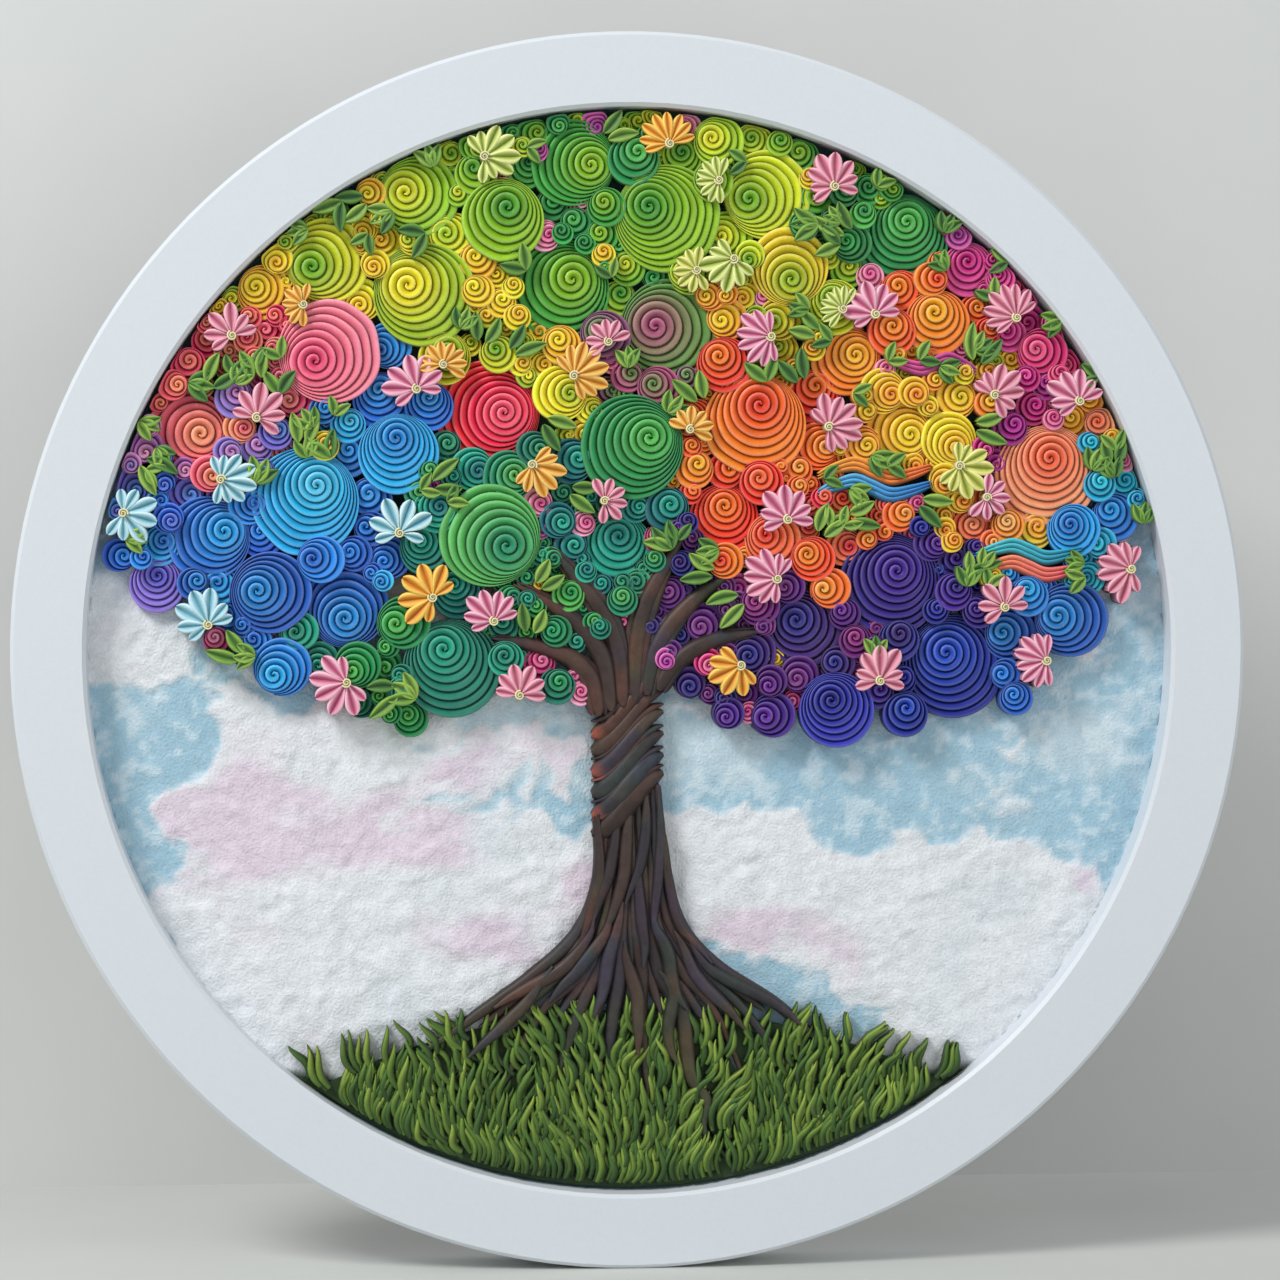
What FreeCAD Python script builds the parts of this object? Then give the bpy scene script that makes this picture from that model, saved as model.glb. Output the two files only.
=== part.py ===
# Round framed quilled paper picture: a tree of rolled paper coils over a painted plaster sky.
# Millimetres. X runs right and Z up, as seen from the front; the picture faces -Y.
# The origin is the centre of the frame's back, in the plane that lies against the wall.
import FreeCAD
import Part
import math
import os
import random

# Frame moulding
FRAME_R = 200.0          # outer radius of the round frame
FACE_W = 24.0            # width of its flat front face
FRAME_D = 26.0           # depth, wall to front face
FRAME_EDGE = 1.2         # chamfer on the two front edges
REBATE_W = 6.0           # step in the back that the boards drop into
RECESS = 13.0            # front face down to the sky board

# Boards
SKY_T = 6.0              # sky board, which carries all the paper work
BACK_T = 3.0             # back board
BOARD_CLEAR = 0.5        # play between a board's edge and the rebate wall

# Steel points that hold the back board in
POINT_COUNT = 8
POINT_L = 14.0
POINT_W = 6.0
POINT_T = 0.6
POINT_BITE = 4.0         # how far a point goes into the moulding
POINT_SLOT_CLEAR = 0.1   # play round a point in its slot

# Keyhole for a wall screw, routed into the back at the top
KEY_ENTRY_R = 3.8        # round entry for the screw's head
KEY_SLOT_R = 1.9         # half width of the slot for its shank
KEY_UNDERCUT_R = 4.0     # half width of the groove that the head slides up in
KEY_LIP = 2.5            # wood left between the groove and the wall
KEY_DEPTH = 7.0
KEY_TRAVEL = 5.0         # entry centre up to the end of the slot
KEY_DROP = 12.6          # frame's outer edge down to the entry's centre

# Heights of the paper above the sky board
BIG_COIL_H = 8.0
MID_COIL_H = 7.0
SMALL_COIL_H = 6.0
WAVE_H = 5.5
FLOWER_H = 7.5
FLOWER_EYE_H = 1.6       # bead that stands on the petals
LEAF_H = 6.5
ROOT_H = 6.0
TWIST_H = 8.0
BRANCH_H = 6.5
HILL_H = 2.5
BLADE_H = 3.5            # grass blade above the hill
CLOUD_H = 1.0
PAPER_GAP = 0.4          # least room between neighbouring paper pieces

# The paper work follows a drawing, which is scaled to fill the frame's opening.
# All that is laid out in x and z below is in the drawing's units, here a millimetre each.
EDGE_UNITS = 175         # units from the drawing's centre to its edge
EDGE_GAP = 1.0           # from the drawing's edge, once scaled, to the frame's opening

# Coils: a strip stands on edge and rolls in towards a core that lies off centre.
# A coil swells from a circle until it presses on its neighbours.
SWELL = 1.6              # most that a coil swells, as a share of its radius
CORE_SHARE = 0.20        # core's radius as a share of the coil's
CORE_SHIFT = 0.32        # core's distance off centre, as a share of the coil's radius
STRIP_FILL = 0.5         # how much of the room between two turns the strip takes up
ROLL_EASE = 1.3          # above 1 the outer turns lie closer together than the inner ones
BIG_TURNS = 1.75
BIG_FACETS = 8           # facets a turn
MID_TURNS = 1.34
MID_FACETS = 6
BUD_FACETS = 6
PETALS = 5
PETAL_FAN = 250.0        # degrees that a flower's petals spread over
PETAL_NOTCH = 0.6        # how far out two petals part, as a share of their length
EYE_SHIFT = 0.42         # flower's eye off the flower's centre, as a share of its radius
EYE_R = 2.0
EYE_FACETS = 5
LEAF_SPREAD = 42.0       # degrees that each leaf of a pair leans out
LEAF_BELLY = 0.46        # half width of a leaf, as a share of the pair's radius
LEAF_BELLY_AT = 0.45     # where a leaf is widest, as a share of its length
LEAF_FOOT = 0.9          # leaves' feet off the pair's centre, as a share of its radius
LEAF_PART = 0.3          # half the angle between the two feet, in radians

# Pieces face upwards, and drift from that over the canopy. The hand that a coil is rolled in
# follows the sign of a wave over the canopy.
DRIFT = 1.2              # radians, most that x or z turns a piece
DRIFT_LENGTH = 20.0      # units for one radian of the drift's wave
HAND_WAVE = (0.31, 0.17)     # radians a unit of x and a unit of z

# Packing of the canopy, largest first: kind, least and greatest radius, most pieces
SIZE_CLASSES = [
    ("big", 13.0, 17.0, 16),
    ("big", 10.4, 13.0, 18),
    ("flower", 7.2, 9.0, 32),
    ("mid", 7.0, 10.4, 29),
    ("leaf", 4.6, 6.4, 27),
    ("bud", 3.6, 7.5, 40),
]
FLOWER_SPACING = 23.0
GRID_STEP = 3.0
SEED = 12

# Lower edge of the canopy, left to right, as x, z
HEM = [
    (-250.0, 60.0), (-173.0, 34.0), (-158.0, 14.0), (-137.0, 0.0), (-118.0, -14.0),
    (-95.0, -22.0), (-69.0, -27.0), (-43.0, -24.0), (-16.0, -13.0), (12.0, -10.0),
    (26.0, -22.0), (45.0, -30.0), (71.0, -32.0), (97.0, -25.0), (123.0, -22.0),
    (140.0, -11.0), (156.0, 8.0), (173.0, 34.0), (250.0, 60.0),
]

# Colour zones of the canopy: a coil belongs to the nearest zone
ZONES = {
    "coils_lime_top_left": (-56, 152), "coils_green_top": (-12, 160),
    "coils_lime_top_right": (28, 150), "coils_green_top_right": (76, 142),
    "coils_yellow_left": (-98, 124), "coils_yellow_upper": (-50, 114),
    "coils_green_upper": (-6, 126), "coils_amber_upper": (42, 110),
    "coils_orange_right": (84, 108), "coils_magenta_right": (122, 108),
    "coils_rose_left": (-132, 98),
    "coils_mauve_centre": (2, 94),
    "coils_lilac_left": (-136, 62),
    "coils_pink_left": (-112, 80), "coils_azure_left": (-84, 64),
    "coils_crimson": (-56, 78), "coils_green_centre": (-14, 66),
    "coils_orange_centre": (26, 70), "coils_amber_right": (80, 76),
    "coils_coral_right": (62, 44),
    "coils_peach_right": (120, 50), "coils_cyan_right": (150, 26),
    "coils_teal_left": (-58, 38), "coils_teal_centre": (-8, 40),
    "coils_purple_right": (56, 8), "coils_indigo_right": (98, 6),
    "coils_blue_right": (138, 2), "coils_royal_left": (-142, 22),
    "coils_blue_left": (-106, 16), "coils_emerald_left": (-62, -8),
    "coils_emerald_low": (-34, -8), "coils_indigo_low": (66, -20),
}

# Trunk: rows from its waist down to the root tips, each a left and a right end
ROOT_ROWS = [
    ((-13.0, -52.0), (9.5, -42.0)),
    ((-13.6, -74.0), (12.4, -70.0)),
    ((-20.0, -91.0), (18.0, -89.0)),
    ((-34.0, -105.0), (32.0, -103.0)),
    ((-56.0, -118.0), (53.0, -116.0)),
]
ROOT_TIPS = ((-82.0, -131.0), (77.0, -131.0))
ROOT_TIP_SAG = 15.0      # how far the middle root tips hang below a line between the outer two
LONG_ROOT = [(19.0, -137.0), (25.0, -147.0), (24.0, -157.0), (33.0, -167.0)]
LONG_ROOT_PLACE = 7      # which root from the left runs on to the long one's points
ROOT_COUNT = 10
ROOT_SWAY = 0.3          # side to side wander at a root's foot, as a share of its room
ROOT_WAVE = (1.7, 2.1)   # radians of that wander's wave from row to row and from root to root
ROOT_HALF_W = 2.2        # most that a root is thick, halved
ROOT_TIP_HALF_W = 0.6
WAIST_GAP = 1.0          # twist down to the flat tops of the root strands
TWIST_COUNT = 4
TWIST_STEP = 7.0         # height of one band of the twist
TWIST_FACETS = 5
# Branches: centre lines from the top of the twist
BRANCHES = [
    [(-11.2, -20.5), (-13.5, -9.0), (-21.0, -1.5), (-33.0, 2.5), (-46.0, 4.5)],
    [(-7.3, -19.0), (-9.4, -3.5), (-16.0, 7.0), (-27.0, 15.5), (-39.0, 22.0)],
    [(-3.5, -17.5), (-4.6, 0.0), (-9.5, 12.5), (-18.5, 24.0), (-27.0, 34.0)],
    [(0.4, -15.5), (1.2, 2.0), (4.0, 15.0), (10.0, 27.0), (17.0, 39.0)],
    [(4.2, -14.0), (7.0, -1.0), (13.0, 9.5), (22.5, 19.0), (33.0, 26.0)],
    [(8.1, -12.5), (12.5, -5.0), (20.5, 1.0), (31.0, 5.0), (42.0, 6.5)],
]
BRANCH_HALF_WIDTHS = (1.6, 2.4, 2.5, 1.7, 0.7)   # at each point of a branch's centre line
BRANCH_SPLITS = 2        # facets between two points of a branch's centre line

# Hill and grass
HILL_R = 227.0           # radius of the hill's crest line
HILL_TOP_Z = -117.0
HILL_FACETS = 14         # facets of the crest, and as many along the frame
BLADE_L = 15.0
BLADE_W = 2.8
BLADE_PITCH = 6.4        # side by side; every other row is set off by half of it
BLADE_ROW = 8.5          # from one row down to the next
BLADE_LEAN = 25.0        # degrees that a blade at the hill's end leans out
BLADE_BELLY_AT = 0.4     # where a blade is widest, as a share of its length
CREST_GAP = 1.0          # tips of the first row down from the crest
EDGE_PROBES = 8          # points tested on each edge of a blade for a root underneath

# Wavy strips between the coils of the lower right, as centre lines
WAVES = [
    [(112.0, 31.0), (124.0, 34.5), (135.0, 30.5), (147.0, 33.0)],
    [(112.0, 25.5), (124.0, 29.0), (135.0, 25.0), (147.0, 27.5)],
    [(60.0, 57.0), (72.0, 61.0), (84.0, 56.5), (97.0, 60.0)],
    [(60.0, 51.5), (72.0, 55.5), (84.0, 51.0), (97.0, 54.5)],
    [(84.0, 95.0), (94.0, 92.0), (103.0, 95.0), (112.0, 91.0)],
]
WAVE_HALF_W = 1.9
WAVE_TIP = 0.7
WAVE_SPLITS = 2
DISC_SPLITS = 6          # discs that stand for each stretch of a branch or a wave

# Plaster cloud banks on the sky board: puffs as x, z, radius
CLOUDS = [
    [(-136, -30, 18), (-112, -42, 17), (-84, -48, 15), (-150, -52, 13), (-56, -46, 14)],
    [(-108, -92, 16), (-82, -88, 20), (-54, -90, 15), (-84, -112, 16)],
    [(40, -56, 13), (64, -50, 16), (94, -46, 16), (126, -40, 19), (144, -56, 14)],
    [(56, -90, 16), (84, -92, 18), (112, -86, 14), (92, -114, 14)],
]
PUFF_FACETS = 12
CLOUD_MARGIN = 2.5       # from a cloud to the trunk, the hill, the canopy and the frame

OPEN_R = FRAME_R - FACE_W
REBATE_R = OPEN_R + REBATE_W
BOARD_R = REBATE_R - BOARD_CLEAR
SCALE = (OPEN_R - EDGE_GAP) / EDGE_UNITS
SKY_FRONT = RECESS - FRAME_D
SKY_BACK = SKY_FRONT + SKY_T
BOARD_BACK = SKY_BACK + BACK_T
AXIS_Y = FreeCAD.Vector(0, 1, 0)


def disc(radius, front, thickness, x=0.0, z=0.0):
    """Round slab whose front face lies at y = front."""
    return Part.makeCylinder(radius, thickness, FreeCAD.Vector(x, front, z), AXIS_Y)


def block(size, centre):
    """Box of that size about a centre."""
    corner = FreeCAD.Vector(*centre) - FreeCAD.Vector(*size) * 0.5
    return Part.makeBox(size[0], size[1], size[2], corner)


def prism(outline, height, foot=SKY_FRONT):
    """Closed outline of the drawing, raised towards the viewer from y = foot."""
    points = [FreeCAD.Vector(x * SCALE, foot, z * SCALE) for x, z in outline]
    face = Part.Face(Part.makePolygon(points + points[:1]))
    return face.extrude(FreeCAD.Vector(0, -height, 0))


def save(name, shapes):
    """Writes one named sub-part, which may be several separate pieces."""
    solids = [solid for shape in shapes for solid in shape.Solids]
    whole = solids[0] if len(solids) == 1 else Part.makeCompound(solids)
    whole.exportStep("parts/" + name + ".step")


# Frame and boards


def moulding():
    """Turned ring with a flat face, a deep recess and a rebate for the boards."""
    profile = [
        (OPEN_R + FRAME_EDGE, -FRAME_D), (FRAME_R - FRAME_EDGE, -FRAME_D),
        (FRAME_R, -FRAME_D + FRAME_EDGE), (FRAME_R, 0), (REBATE_R, 0),
        (REBATE_R, SKY_FRONT), (OPEN_R, SKY_FRONT), (OPEN_R, -FRAME_D + FRAME_EDGE),
    ]
    points = [FreeCAD.Vector(r, y, 0) for r, y in profile]
    face = Part.Face(Part.makePolygon(points + points[:1]))
    return face.revolve(FreeCAD.Vector(0, 0, 0), AXIS_Y, 360)


def around(shape, index):
    """Copy of a shape turned about the picture's axis to one of the point places."""
    turned = shape.copy()
    angle = 360.0 * (index + 0.5) / POINT_COUNT
    turned.rotate(FreeCAD.Vector(0, 0, 0), AXIS_Y, angle)
    return turned


def steel_point(clear=0.0):
    """Flat steel point on the back board, with its outer end in the moulding."""
    outer = REBATE_R + POINT_BITE + clear
    inner = REBATE_R + POINT_BITE - POINT_L
    size = (outer - inner, POINT_T + 2 * clear, POINT_W + 2 * clear)
    return block(size, ((outer + inner) / 2, BOARD_BACK + POINT_T / 2, 0))


def slot(radius, front, thickness):
    """Rounded slot from the keyhole's entry up to its end."""
    entry_z = FRAME_R - KEY_DROP
    bottom = disc(radius, front, thickness, z=entry_z)
    top = disc(radius, front, thickness, z=entry_z + KEY_TRAVEL)
    middle = block(
        (2 * radius, thickness, KEY_TRAVEL),
        (0, front + thickness / 2, entry_z + KEY_TRAVEL / 2),
    )
    return bottom.fuse([top, middle]).removeSplitter()


def keyhole():
    """Space that the cutter leaves: entry, slot through the lip and groove behind it."""
    entry = disc(KEY_ENTRY_R, -KEY_DEPTH, KEY_DEPTH, z=FRAME_R - KEY_DROP)
    groove = slot(KEY_UNDERCUT_R, -KEY_DEPTH, KEY_DEPTH - KEY_LIP)
    return slot(KEY_SLOT_R, -KEY_LIP, KEY_LIP).fuse([groove, entry])


def build_frame():
    slots = [around(steel_point(POINT_SLOT_CLEAR), i) for i in range(POINT_COUNT)]
    save("frame_moulding", [moulding().cut([keyhole()] + slots)])
    save("back_board", [disc(BOARD_R, SKY_BACK, BACK_T)])
    save("steel_points", [around(steel_point(), i) for i in range(POINT_COUNT)])
    save("sky_board", [disc(BOARD_R, SKY_FRONT, SKY_T)])


# Tree


def along(a, b, share):
    return (a[0] + (b[0] - a[0]) * share, a[1] + (b[1] - a[1]) * share)


def root_sway(row):
    """Sway grows from none at the trunk's waist to its full size at the last row."""
    return ROOT_SWAY * row / (len(ROOT_ROWS) - 1)


def root_line(index):
    """Centre line of one root strand, from the trunk's waist to the root's tip."""
    share = (index + 0.5) / ROOT_COUNT
    top_x, top_z = waist(share)
    line = [(top_x, top_z - WAIST_GAP)]
    for row, (left, right) in enumerate(ROOT_ROWS[1:], 1):
        sway = root_sway(row) / 2 * math.sin(ROOT_WAVE[0] * row + ROOT_WAVE[1] * index)
        line.append(along(left, right, share + sway / ROOT_COUNT))
    if index == LONG_ROOT_PLACE - 1:
        return line + LONG_ROOT
    tip_x, tip_z = along(*ROOT_TIPS, share)
    return line + [(tip_x, tip_z - ROOT_TIP_SAG * 4 * share * (1 - share))]


def root_outline(index, grow=0.0):
    """One root strand: it fills its share of the trunk and thins out towards its tip."""
    line = root_line(index)
    widths = []
    for row, (x, z) in enumerate(line):
        taper = ROOT_HALF_W + (ROOT_TIP_HALF_W - ROOT_HALF_W) * (row / (len(line) - 1)) ** 3
        if row < len(ROOT_ROWS):
            (x0, z0), (x1, z1) = ROOT_ROWS[row]
            before, after = line[max(row - 1, 0)], line[min(row + 1, len(line) - 1)]
            upright = (before[1] - after[1]) / math.dist(before, after)
            room = (x1 - x0) / ROOT_COUNT * (1 - root_sway(row)) * upright
            taper = min(taper, (room - PAPER_GAP) / 2)
        widths.append(taper + grow)
    return ribbon(line, widths)


def waist(share):
    """Point on the S-shaped line where the twist ends and the root strands start."""
    (x0, z0), (x1, z1) = ROOT_ROWS[0]
    return (x0 + (x1 - x0) * share, z0 + (z1 - z0) * share * share * (3 - 2 * share))


def twist_edge(step):
    """Edge under one band of the twist, from the trunk's left side to its right."""
    line = [waist(k / TWIST_FACETS) for k in range(TWIST_FACETS + 1)]
    return [(x, z + TWIST_STEP * step) for x, z in line]


def twist_outline(band):
    lower = [(x, z + PAPER_GAP / 2) for x, z in twist_edge(band)]
    upper = [(x, z - PAPER_GAP / 2) for x, z in twist_edge(band + 1)]
    return lower + upper[::-1]


def curve(points, splits):
    """Smooth line through the points, with that many facets between each two."""
    padded = [points[0]] + list(points) + [points[-1]]
    line = []
    for a, b, c, d in zip(padded, padded[1:], padded[2:], padded[3:]):
        for k in range(splits):
            t = k / splits
            line.append(tuple(
                b[i] + 0.5 * t * (
                    c[i] - a[i] + t * (2 * a[i] - 5 * b[i] + 4 * c[i] - d[i]
                                       + t * (3 * (b[i] - c[i]) + d[i] - a[i]))
                ) for i in (0, 1)
            ))
    return line + [tuple(points[-1])]


def ribbon(line, half_widths):
    """Outline of a strip with that centre line and that half width at each of its points."""
    left, right = [], []
    for i, (x, z) in enumerate(line):
        before, after = line[max(i - 1, 0)], line[min(i + 1, len(line) - 1)]
        length = math.dist(before, after)
        dx = (after[0] - before[0]) / length * half_widths[i]
        dz = (after[1] - before[1]) / length * half_widths[i]
        left.append((x - dz, z + dx))
        right.append((x + dz, z - dx))
    return left + right[::-1]


def branch_discs(points, splits):
    """Centre line of a branch as x, z and the branch's half width there."""
    discs = []
    for i, (x, z) in enumerate(curve(points, splits)):
        row, step = divmod(i, splits)
        widths = BRANCH_HALF_WIDTHS[row:row + 2]
        discs.append((x, z, widths[0] + (widths[-1] - widths[0]) * step / splits))
    return discs


def branch_outline(points):
    discs = branch_discs(points, BRANCH_SPLITS)
    return ribbon([disc[:2] for disc in discs], [disc[2] for disc in discs])


def wave_outline(points):
    line = curve(points, WAVE_SPLITS)
    last = len(line) - 1
    swell = [math.sin(math.pi * i / last) for i in range(last + 1)]
    return ribbon(line, [WAVE_TIP + (WAVE_HALF_W - WAVE_TIP) * s for s in swell])


def build_tree():
    for i in range(ROOT_COUNT):
        save(f"root_strand_{i + 1}", [prism(root_outline(i), ROOT_H)])
    save("trunk_twist", [prism(twist_outline(k), TWIST_H) for k in range(TWIST_COUNT)])
    save("branches", [prism(branch_outline(points), BRANCH_H) for points in BRANCHES])


# Canopy


def hem_height(x):
    """Height of the canopy's lower edge at x."""
    for (x0, z0), (x1, z1) in zip(HEM, HEM[1:]):
        if x0 <= x <= x1:
            return z0 + (z1 - z0) * (x - x0) / (x1 - x0)
    return math.inf


def to_segment(x, z, a, b):
    """Distance from a point to a straight run."""
    dx, dz = b[0] - a[0], b[1] - a[1]
    share = ((x - a[0]) * dx + (z - a[1]) * dz) / (dx * dx + dz * dz)
    share = min(1.0, max(0.0, share))
    return math.hypot(x - a[0] - share * dx, z - a[1] - share * dz)


def to_line(x, z, line):
    return min(to_segment(x, z, a, b) for a, b in zip(line, line[1:]))


def free_room(x, z):
    """Radius of the largest disc at x, z that clears the canopy's edge, the tree and the waves."""
    if z <= hem_height(x):
        return 0.0
    rooms = [EDGE_UNITS - math.hypot(x, z), to_line(x, z, HEM)]
    for points in BRANCHES:
        for bx, bz, half in branch_discs(points, DISC_SPLITS):
            rooms.append(math.dist((x, z), (bx, bz)) - half - PAPER_GAP)
    rooms += [to_line(x, z, line) - WAVE_HALF_W - PAPER_GAP for line in WAVES]
    return min(rooms)


def pack_canopy():
    """Places the pieces of the canopy, largest first, each as big as its room allows."""
    rng = random.Random(SEED)
    steps = int(2 * EDGE_UNITS / GRID_STEP)
    spots = []
    for i in range(steps):
        for k in range(steps):
            x = -EDGE_UNITS + GRID_STEP * (i + rng.random())
            z = -EDGE_UNITS + GRID_STEP * (k + rng.random())
            if z > hem_height(x):
                spots.append([x, z, free_room(x, z)])
    rng.shuffle(spots)
    placed = []
    for kind, least, most, quota in SIZE_CLASSES:
        count = 0
        for x, z, room in spots:
            if room < least or count == quota:
                continue
            if kind == "flower" and near_flower(x, z, placed):
                continue
            r = min(room, most)
            placed.append((x, z, r, kind))
            count += 1
            for spot in spots:
                spot[2] = min(spot[2], math.dist((x, z), spot[:2]) - r - PAPER_GAP)
    return placed


def near_flower(x, z, placed):
    return any(
        other[3] == "flower" and math.dist((x, z), other[:2]) < FLOWER_SPACING
        for other in placed
    )


def fixed_discs():
    """Discs that stand for the branches, the top of the twist and the wavy strips."""
    discs = [(x, z, TWIST_STEP / 2) for x, z in twist_edge(TWIST_COUNT)]
    for points in BRANCHES:
        discs += branch_discs(points, DISC_SPLITS)
    for points in WAVES:
        discs += [(x, z, WAVE_HALF_W) for x, z in curve(points, DISC_SPLITS)]
    return discs


def to_crossing(x, z, ux, uz, a, b):
    """Distance from x, z along a direction to a straight run, or infinity if it misses."""
    dx, dz = b[0] - a[0], b[1] - a[1]
    across = ux * dz - uz * dx
    if across == 0:
        return math.inf
    t = ((a[0] - x) * dz - (a[1] - z) * dx) / across
    share = ((a[0] - x) * uz - (a[1] - z) * ux) / across
    return t if t > 0 and 0 <= share <= 1 else math.inf


def cell(piece, discs):
    """How far a coil reaches in a direction, where it presses on the discs round it."""
    x, z, r = piece[:3]
    near = [d for d in discs if 0 < math.dist((x, z), d[:2]) < 2 * SWELL * r + d[2]]

    def reach(angle):
        ux, uz = math.cos(angle), math.sin(angle)
        out = x * ux + z * uz
        limits = [SWELL * r, math.sqrt(EDGE_UNITS ** 2 - x * x - z * z + out * out) - out]
        limits += [to_crossing(x, z, ux, uz, a, b) for a, b in zip(HEM, HEM[1:])]
        for other in near:
            dx, dz = other[0] - x, other[1] - z
            towards = ux * dx + uz * dz
            if towards > 0:
                meet = (dx * dx + dz * dz + r * r - other[2] ** 2) / (2 * towards)
                limits.append(meet - PAPER_GAP / 2)
        return min(limits)

    return reach


def zone_of(x, z):
    return min(ZONES, key=lambda name: math.hypot(x - ZONES[name][0], z - ZONES[name][1]))


def heading(x, z):
    """Direction in radians that a piece at x, z faces; it drifts slowly over the canopy."""
    return math.pi / 2 + DRIFT * (math.sin(x / DRIFT_LENGTH) + math.cos(z / DRIFT_LENGTH))


def coil_outline(piece, reach, turns, facets):
    """Strip on edge, rolled from the coil's pressed outer shape in to its round core."""
    x, z, r = piece[:3]
    turn = heading(x, z)
    hand = 1 if math.sin(HAND_WAVE[0] * x + HAND_WAVE[1] * z) > 0 else -1
    core = (x + CORE_SHIFT * r * math.cos(turn), z + CORE_SHIFT * r * math.sin(turn))
    count = round(turns * facets)
    strip = STRIP_FILL / turns
    outer, inner = [], []
    for k in range(count + 1):
        angle = turn + hand * 2 * math.pi * k / facets
        rim = from_centre((x, z), reach(angle), angle)
        heart = from_centre(core, CORE_SHARE * r, angle)
        share = (1 - strip) * (k / count) ** ROLL_EASE
        outer.append(along(rim, heart, share))
        inner.append(along(rim, heart, share + strip))
    return outer + inner[::-1]


def from_centre(centre, radius, angle):
    return (centre[0] + radius * math.cos(angle), centre[1] + radius * math.sin(angle))


def polygon(centre, r, facets):
    return [from_centre(centre, r, 2 * math.pi * k / facets) for k in range(facets)]


def bud_outline(x, z, reach):
    """Small coil rolled tight, seen as its pressed outer shape."""
    turns = [2 * math.pi * k / BUD_FACETS for k in range(BUD_FACETS)]
    return [from_centre((x, z), reach(turn), turn) for turn in turns]


def flower_eye(x, z, r):
    """Middle of a flower's fan: it lies at the back of the flower's own disc."""
    return from_centre((x, z), -EYE_SHIFT * r, heading(x, z))


def flower_outline(x, z, r, reach):
    """Fan of petals round the eye, each reaching out to the flower's neighbours."""
    eye = flower_eye(x, z, r)
    petal = math.radians(PETAL_FAN) / PETALS
    start = heading(x, z) - petal * PETALS / 2
    outline = []
    for k in range(2 * PETALS + 1):
        angle = start + petal * k / 2
        rim = from_centre((x, z), reach(angle), angle)
        outline.append(rim if k % 2 else along(eye, rim, PETAL_NOTCH))
    outline.append(from_centre(eye, EYE_R, heading(x, z) + math.pi))
    return outline


def leaf_pair(x, z, r, reach):
    """Two pointed leaves side by side, spreading from the back of their disc."""
    facing = heading(x, z)
    leaves = []
    for side in (-1, 1):
        lean = facing + side * math.radians(LEAF_SPREAD)
        foot = from_centre((x, z), -LEAF_FOOT * r, facing - side * LEAF_PART)
        tip = from_centre((x, z), reach(lean), lean)
        belly = along(foot, tip, LEAF_BELLY_AT)
        across = math.atan2(tip[1] - foot[1], tip[0] - foot[0]) + math.pi / 2
        leaves.append([
            foot, from_centre(belly, -LEAF_BELLY * r, across),
            tip, from_centre(belly, LEAF_BELLY * r, across),
        ])
    return leaves


def build_canopy():
    placed = pack_canopy()
    discs = [piece[:3] for piece in placed] + fixed_discs()
    coils = {name: [] for name in ZONES}
    flowers, eyes, leaves = [], [], []
    for piece in placed:
        x, z, r, kind = piece
        reach = cell(piece, discs)
        zone = coils[zone_of(x, z)]
        if kind == "big":
            zone.append(prism(coil_outline(piece, reach, BIG_TURNS, BIG_FACETS), BIG_COIL_H))
        elif kind == "mid":
            zone.append(prism(coil_outline(piece, reach, MID_TURNS, MID_FACETS), MID_COIL_H))
        elif kind == "bud":
            zone.append(prism(bud_outline(x, z, reach), SMALL_COIL_H))
        elif kind == "flower":
            flowers.append(prism(flower_outline(x, z, r, reach), FLOWER_H))
            bead = polygon(flower_eye(x, z, r), EYE_R, EYE_FACETS)
            eyes.append(prism(bead, FLOWER_EYE_H, SKY_FRONT - FLOWER_H))
        else:
            leaves += [prism(leaf, LEAF_H) for leaf in leaf_pair(x, z, r, reach)]
    for name, solids in coils.items():
        if solids:
            save(name, solids)
    save("flower_petals", flowers)
    save("flower_eyes", eyes)
    save("leaves", leaves)
    save("wavy_strips", [prism(wave_outline(points), WAVE_H) for points in WAVES])


# Hill, grass and clouds


def inside(point, outline):
    """True if the point lies in the closed outline."""
    x, z = point
    odd = False
    for (x0, z0), (x1, z1) in zip(outline, outline[1:] + outline[:1]):
        if (z0 > z) != (z1 > z) and x < x0 + (x1 - x0) * (z - z0) / (z1 - z0):
            odd = not odd
    return odd


def blade_outline(x, z, lean):
    """Kite shaped blade that stands on x, z."""
    tip = (x + BLADE_L * math.sin(lean), z + BLADE_L * math.cos(lean))
    mid = along((x, z), tip, BLADE_BELLY_AT)
    side = (BLADE_W / 2 * math.cos(lean), -BLADE_W / 2 * math.sin(lean))
    return [(x, z), (mid[0] + side[0], mid[1] + side[1]), tip, (mid[0] - side[0], mid[1] - side[1])]


def hill_outline():
    """Crest of the hill from left to right, then back along the frame's opening."""
    centre_z = HILL_TOP_Z - HILL_R
    meet_z = (EDGE_UNITS ** 2 - HILL_R ** 2 + centre_z ** 2) / (2 * centre_z)
    crest = math.acos((meet_z - centre_z) / HILL_R)
    rim = math.acos(-meet_z / EDGE_UNITS)
    outline = []
    for k in range(HILL_FACETS):
        turn = math.pi / 2 + crest * (1 - 2 * k / HILL_FACETS)
        outline.append(from_centre((0, centre_z), HILL_R, turn))
    for k in range(HILL_FACETS):
        turn = -math.pi / 2 + rim * (1 - 2 * k / HILL_FACETS)
        outline.append(from_centre((0, 0), EDGE_UNITS, turn))
    return outline


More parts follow.
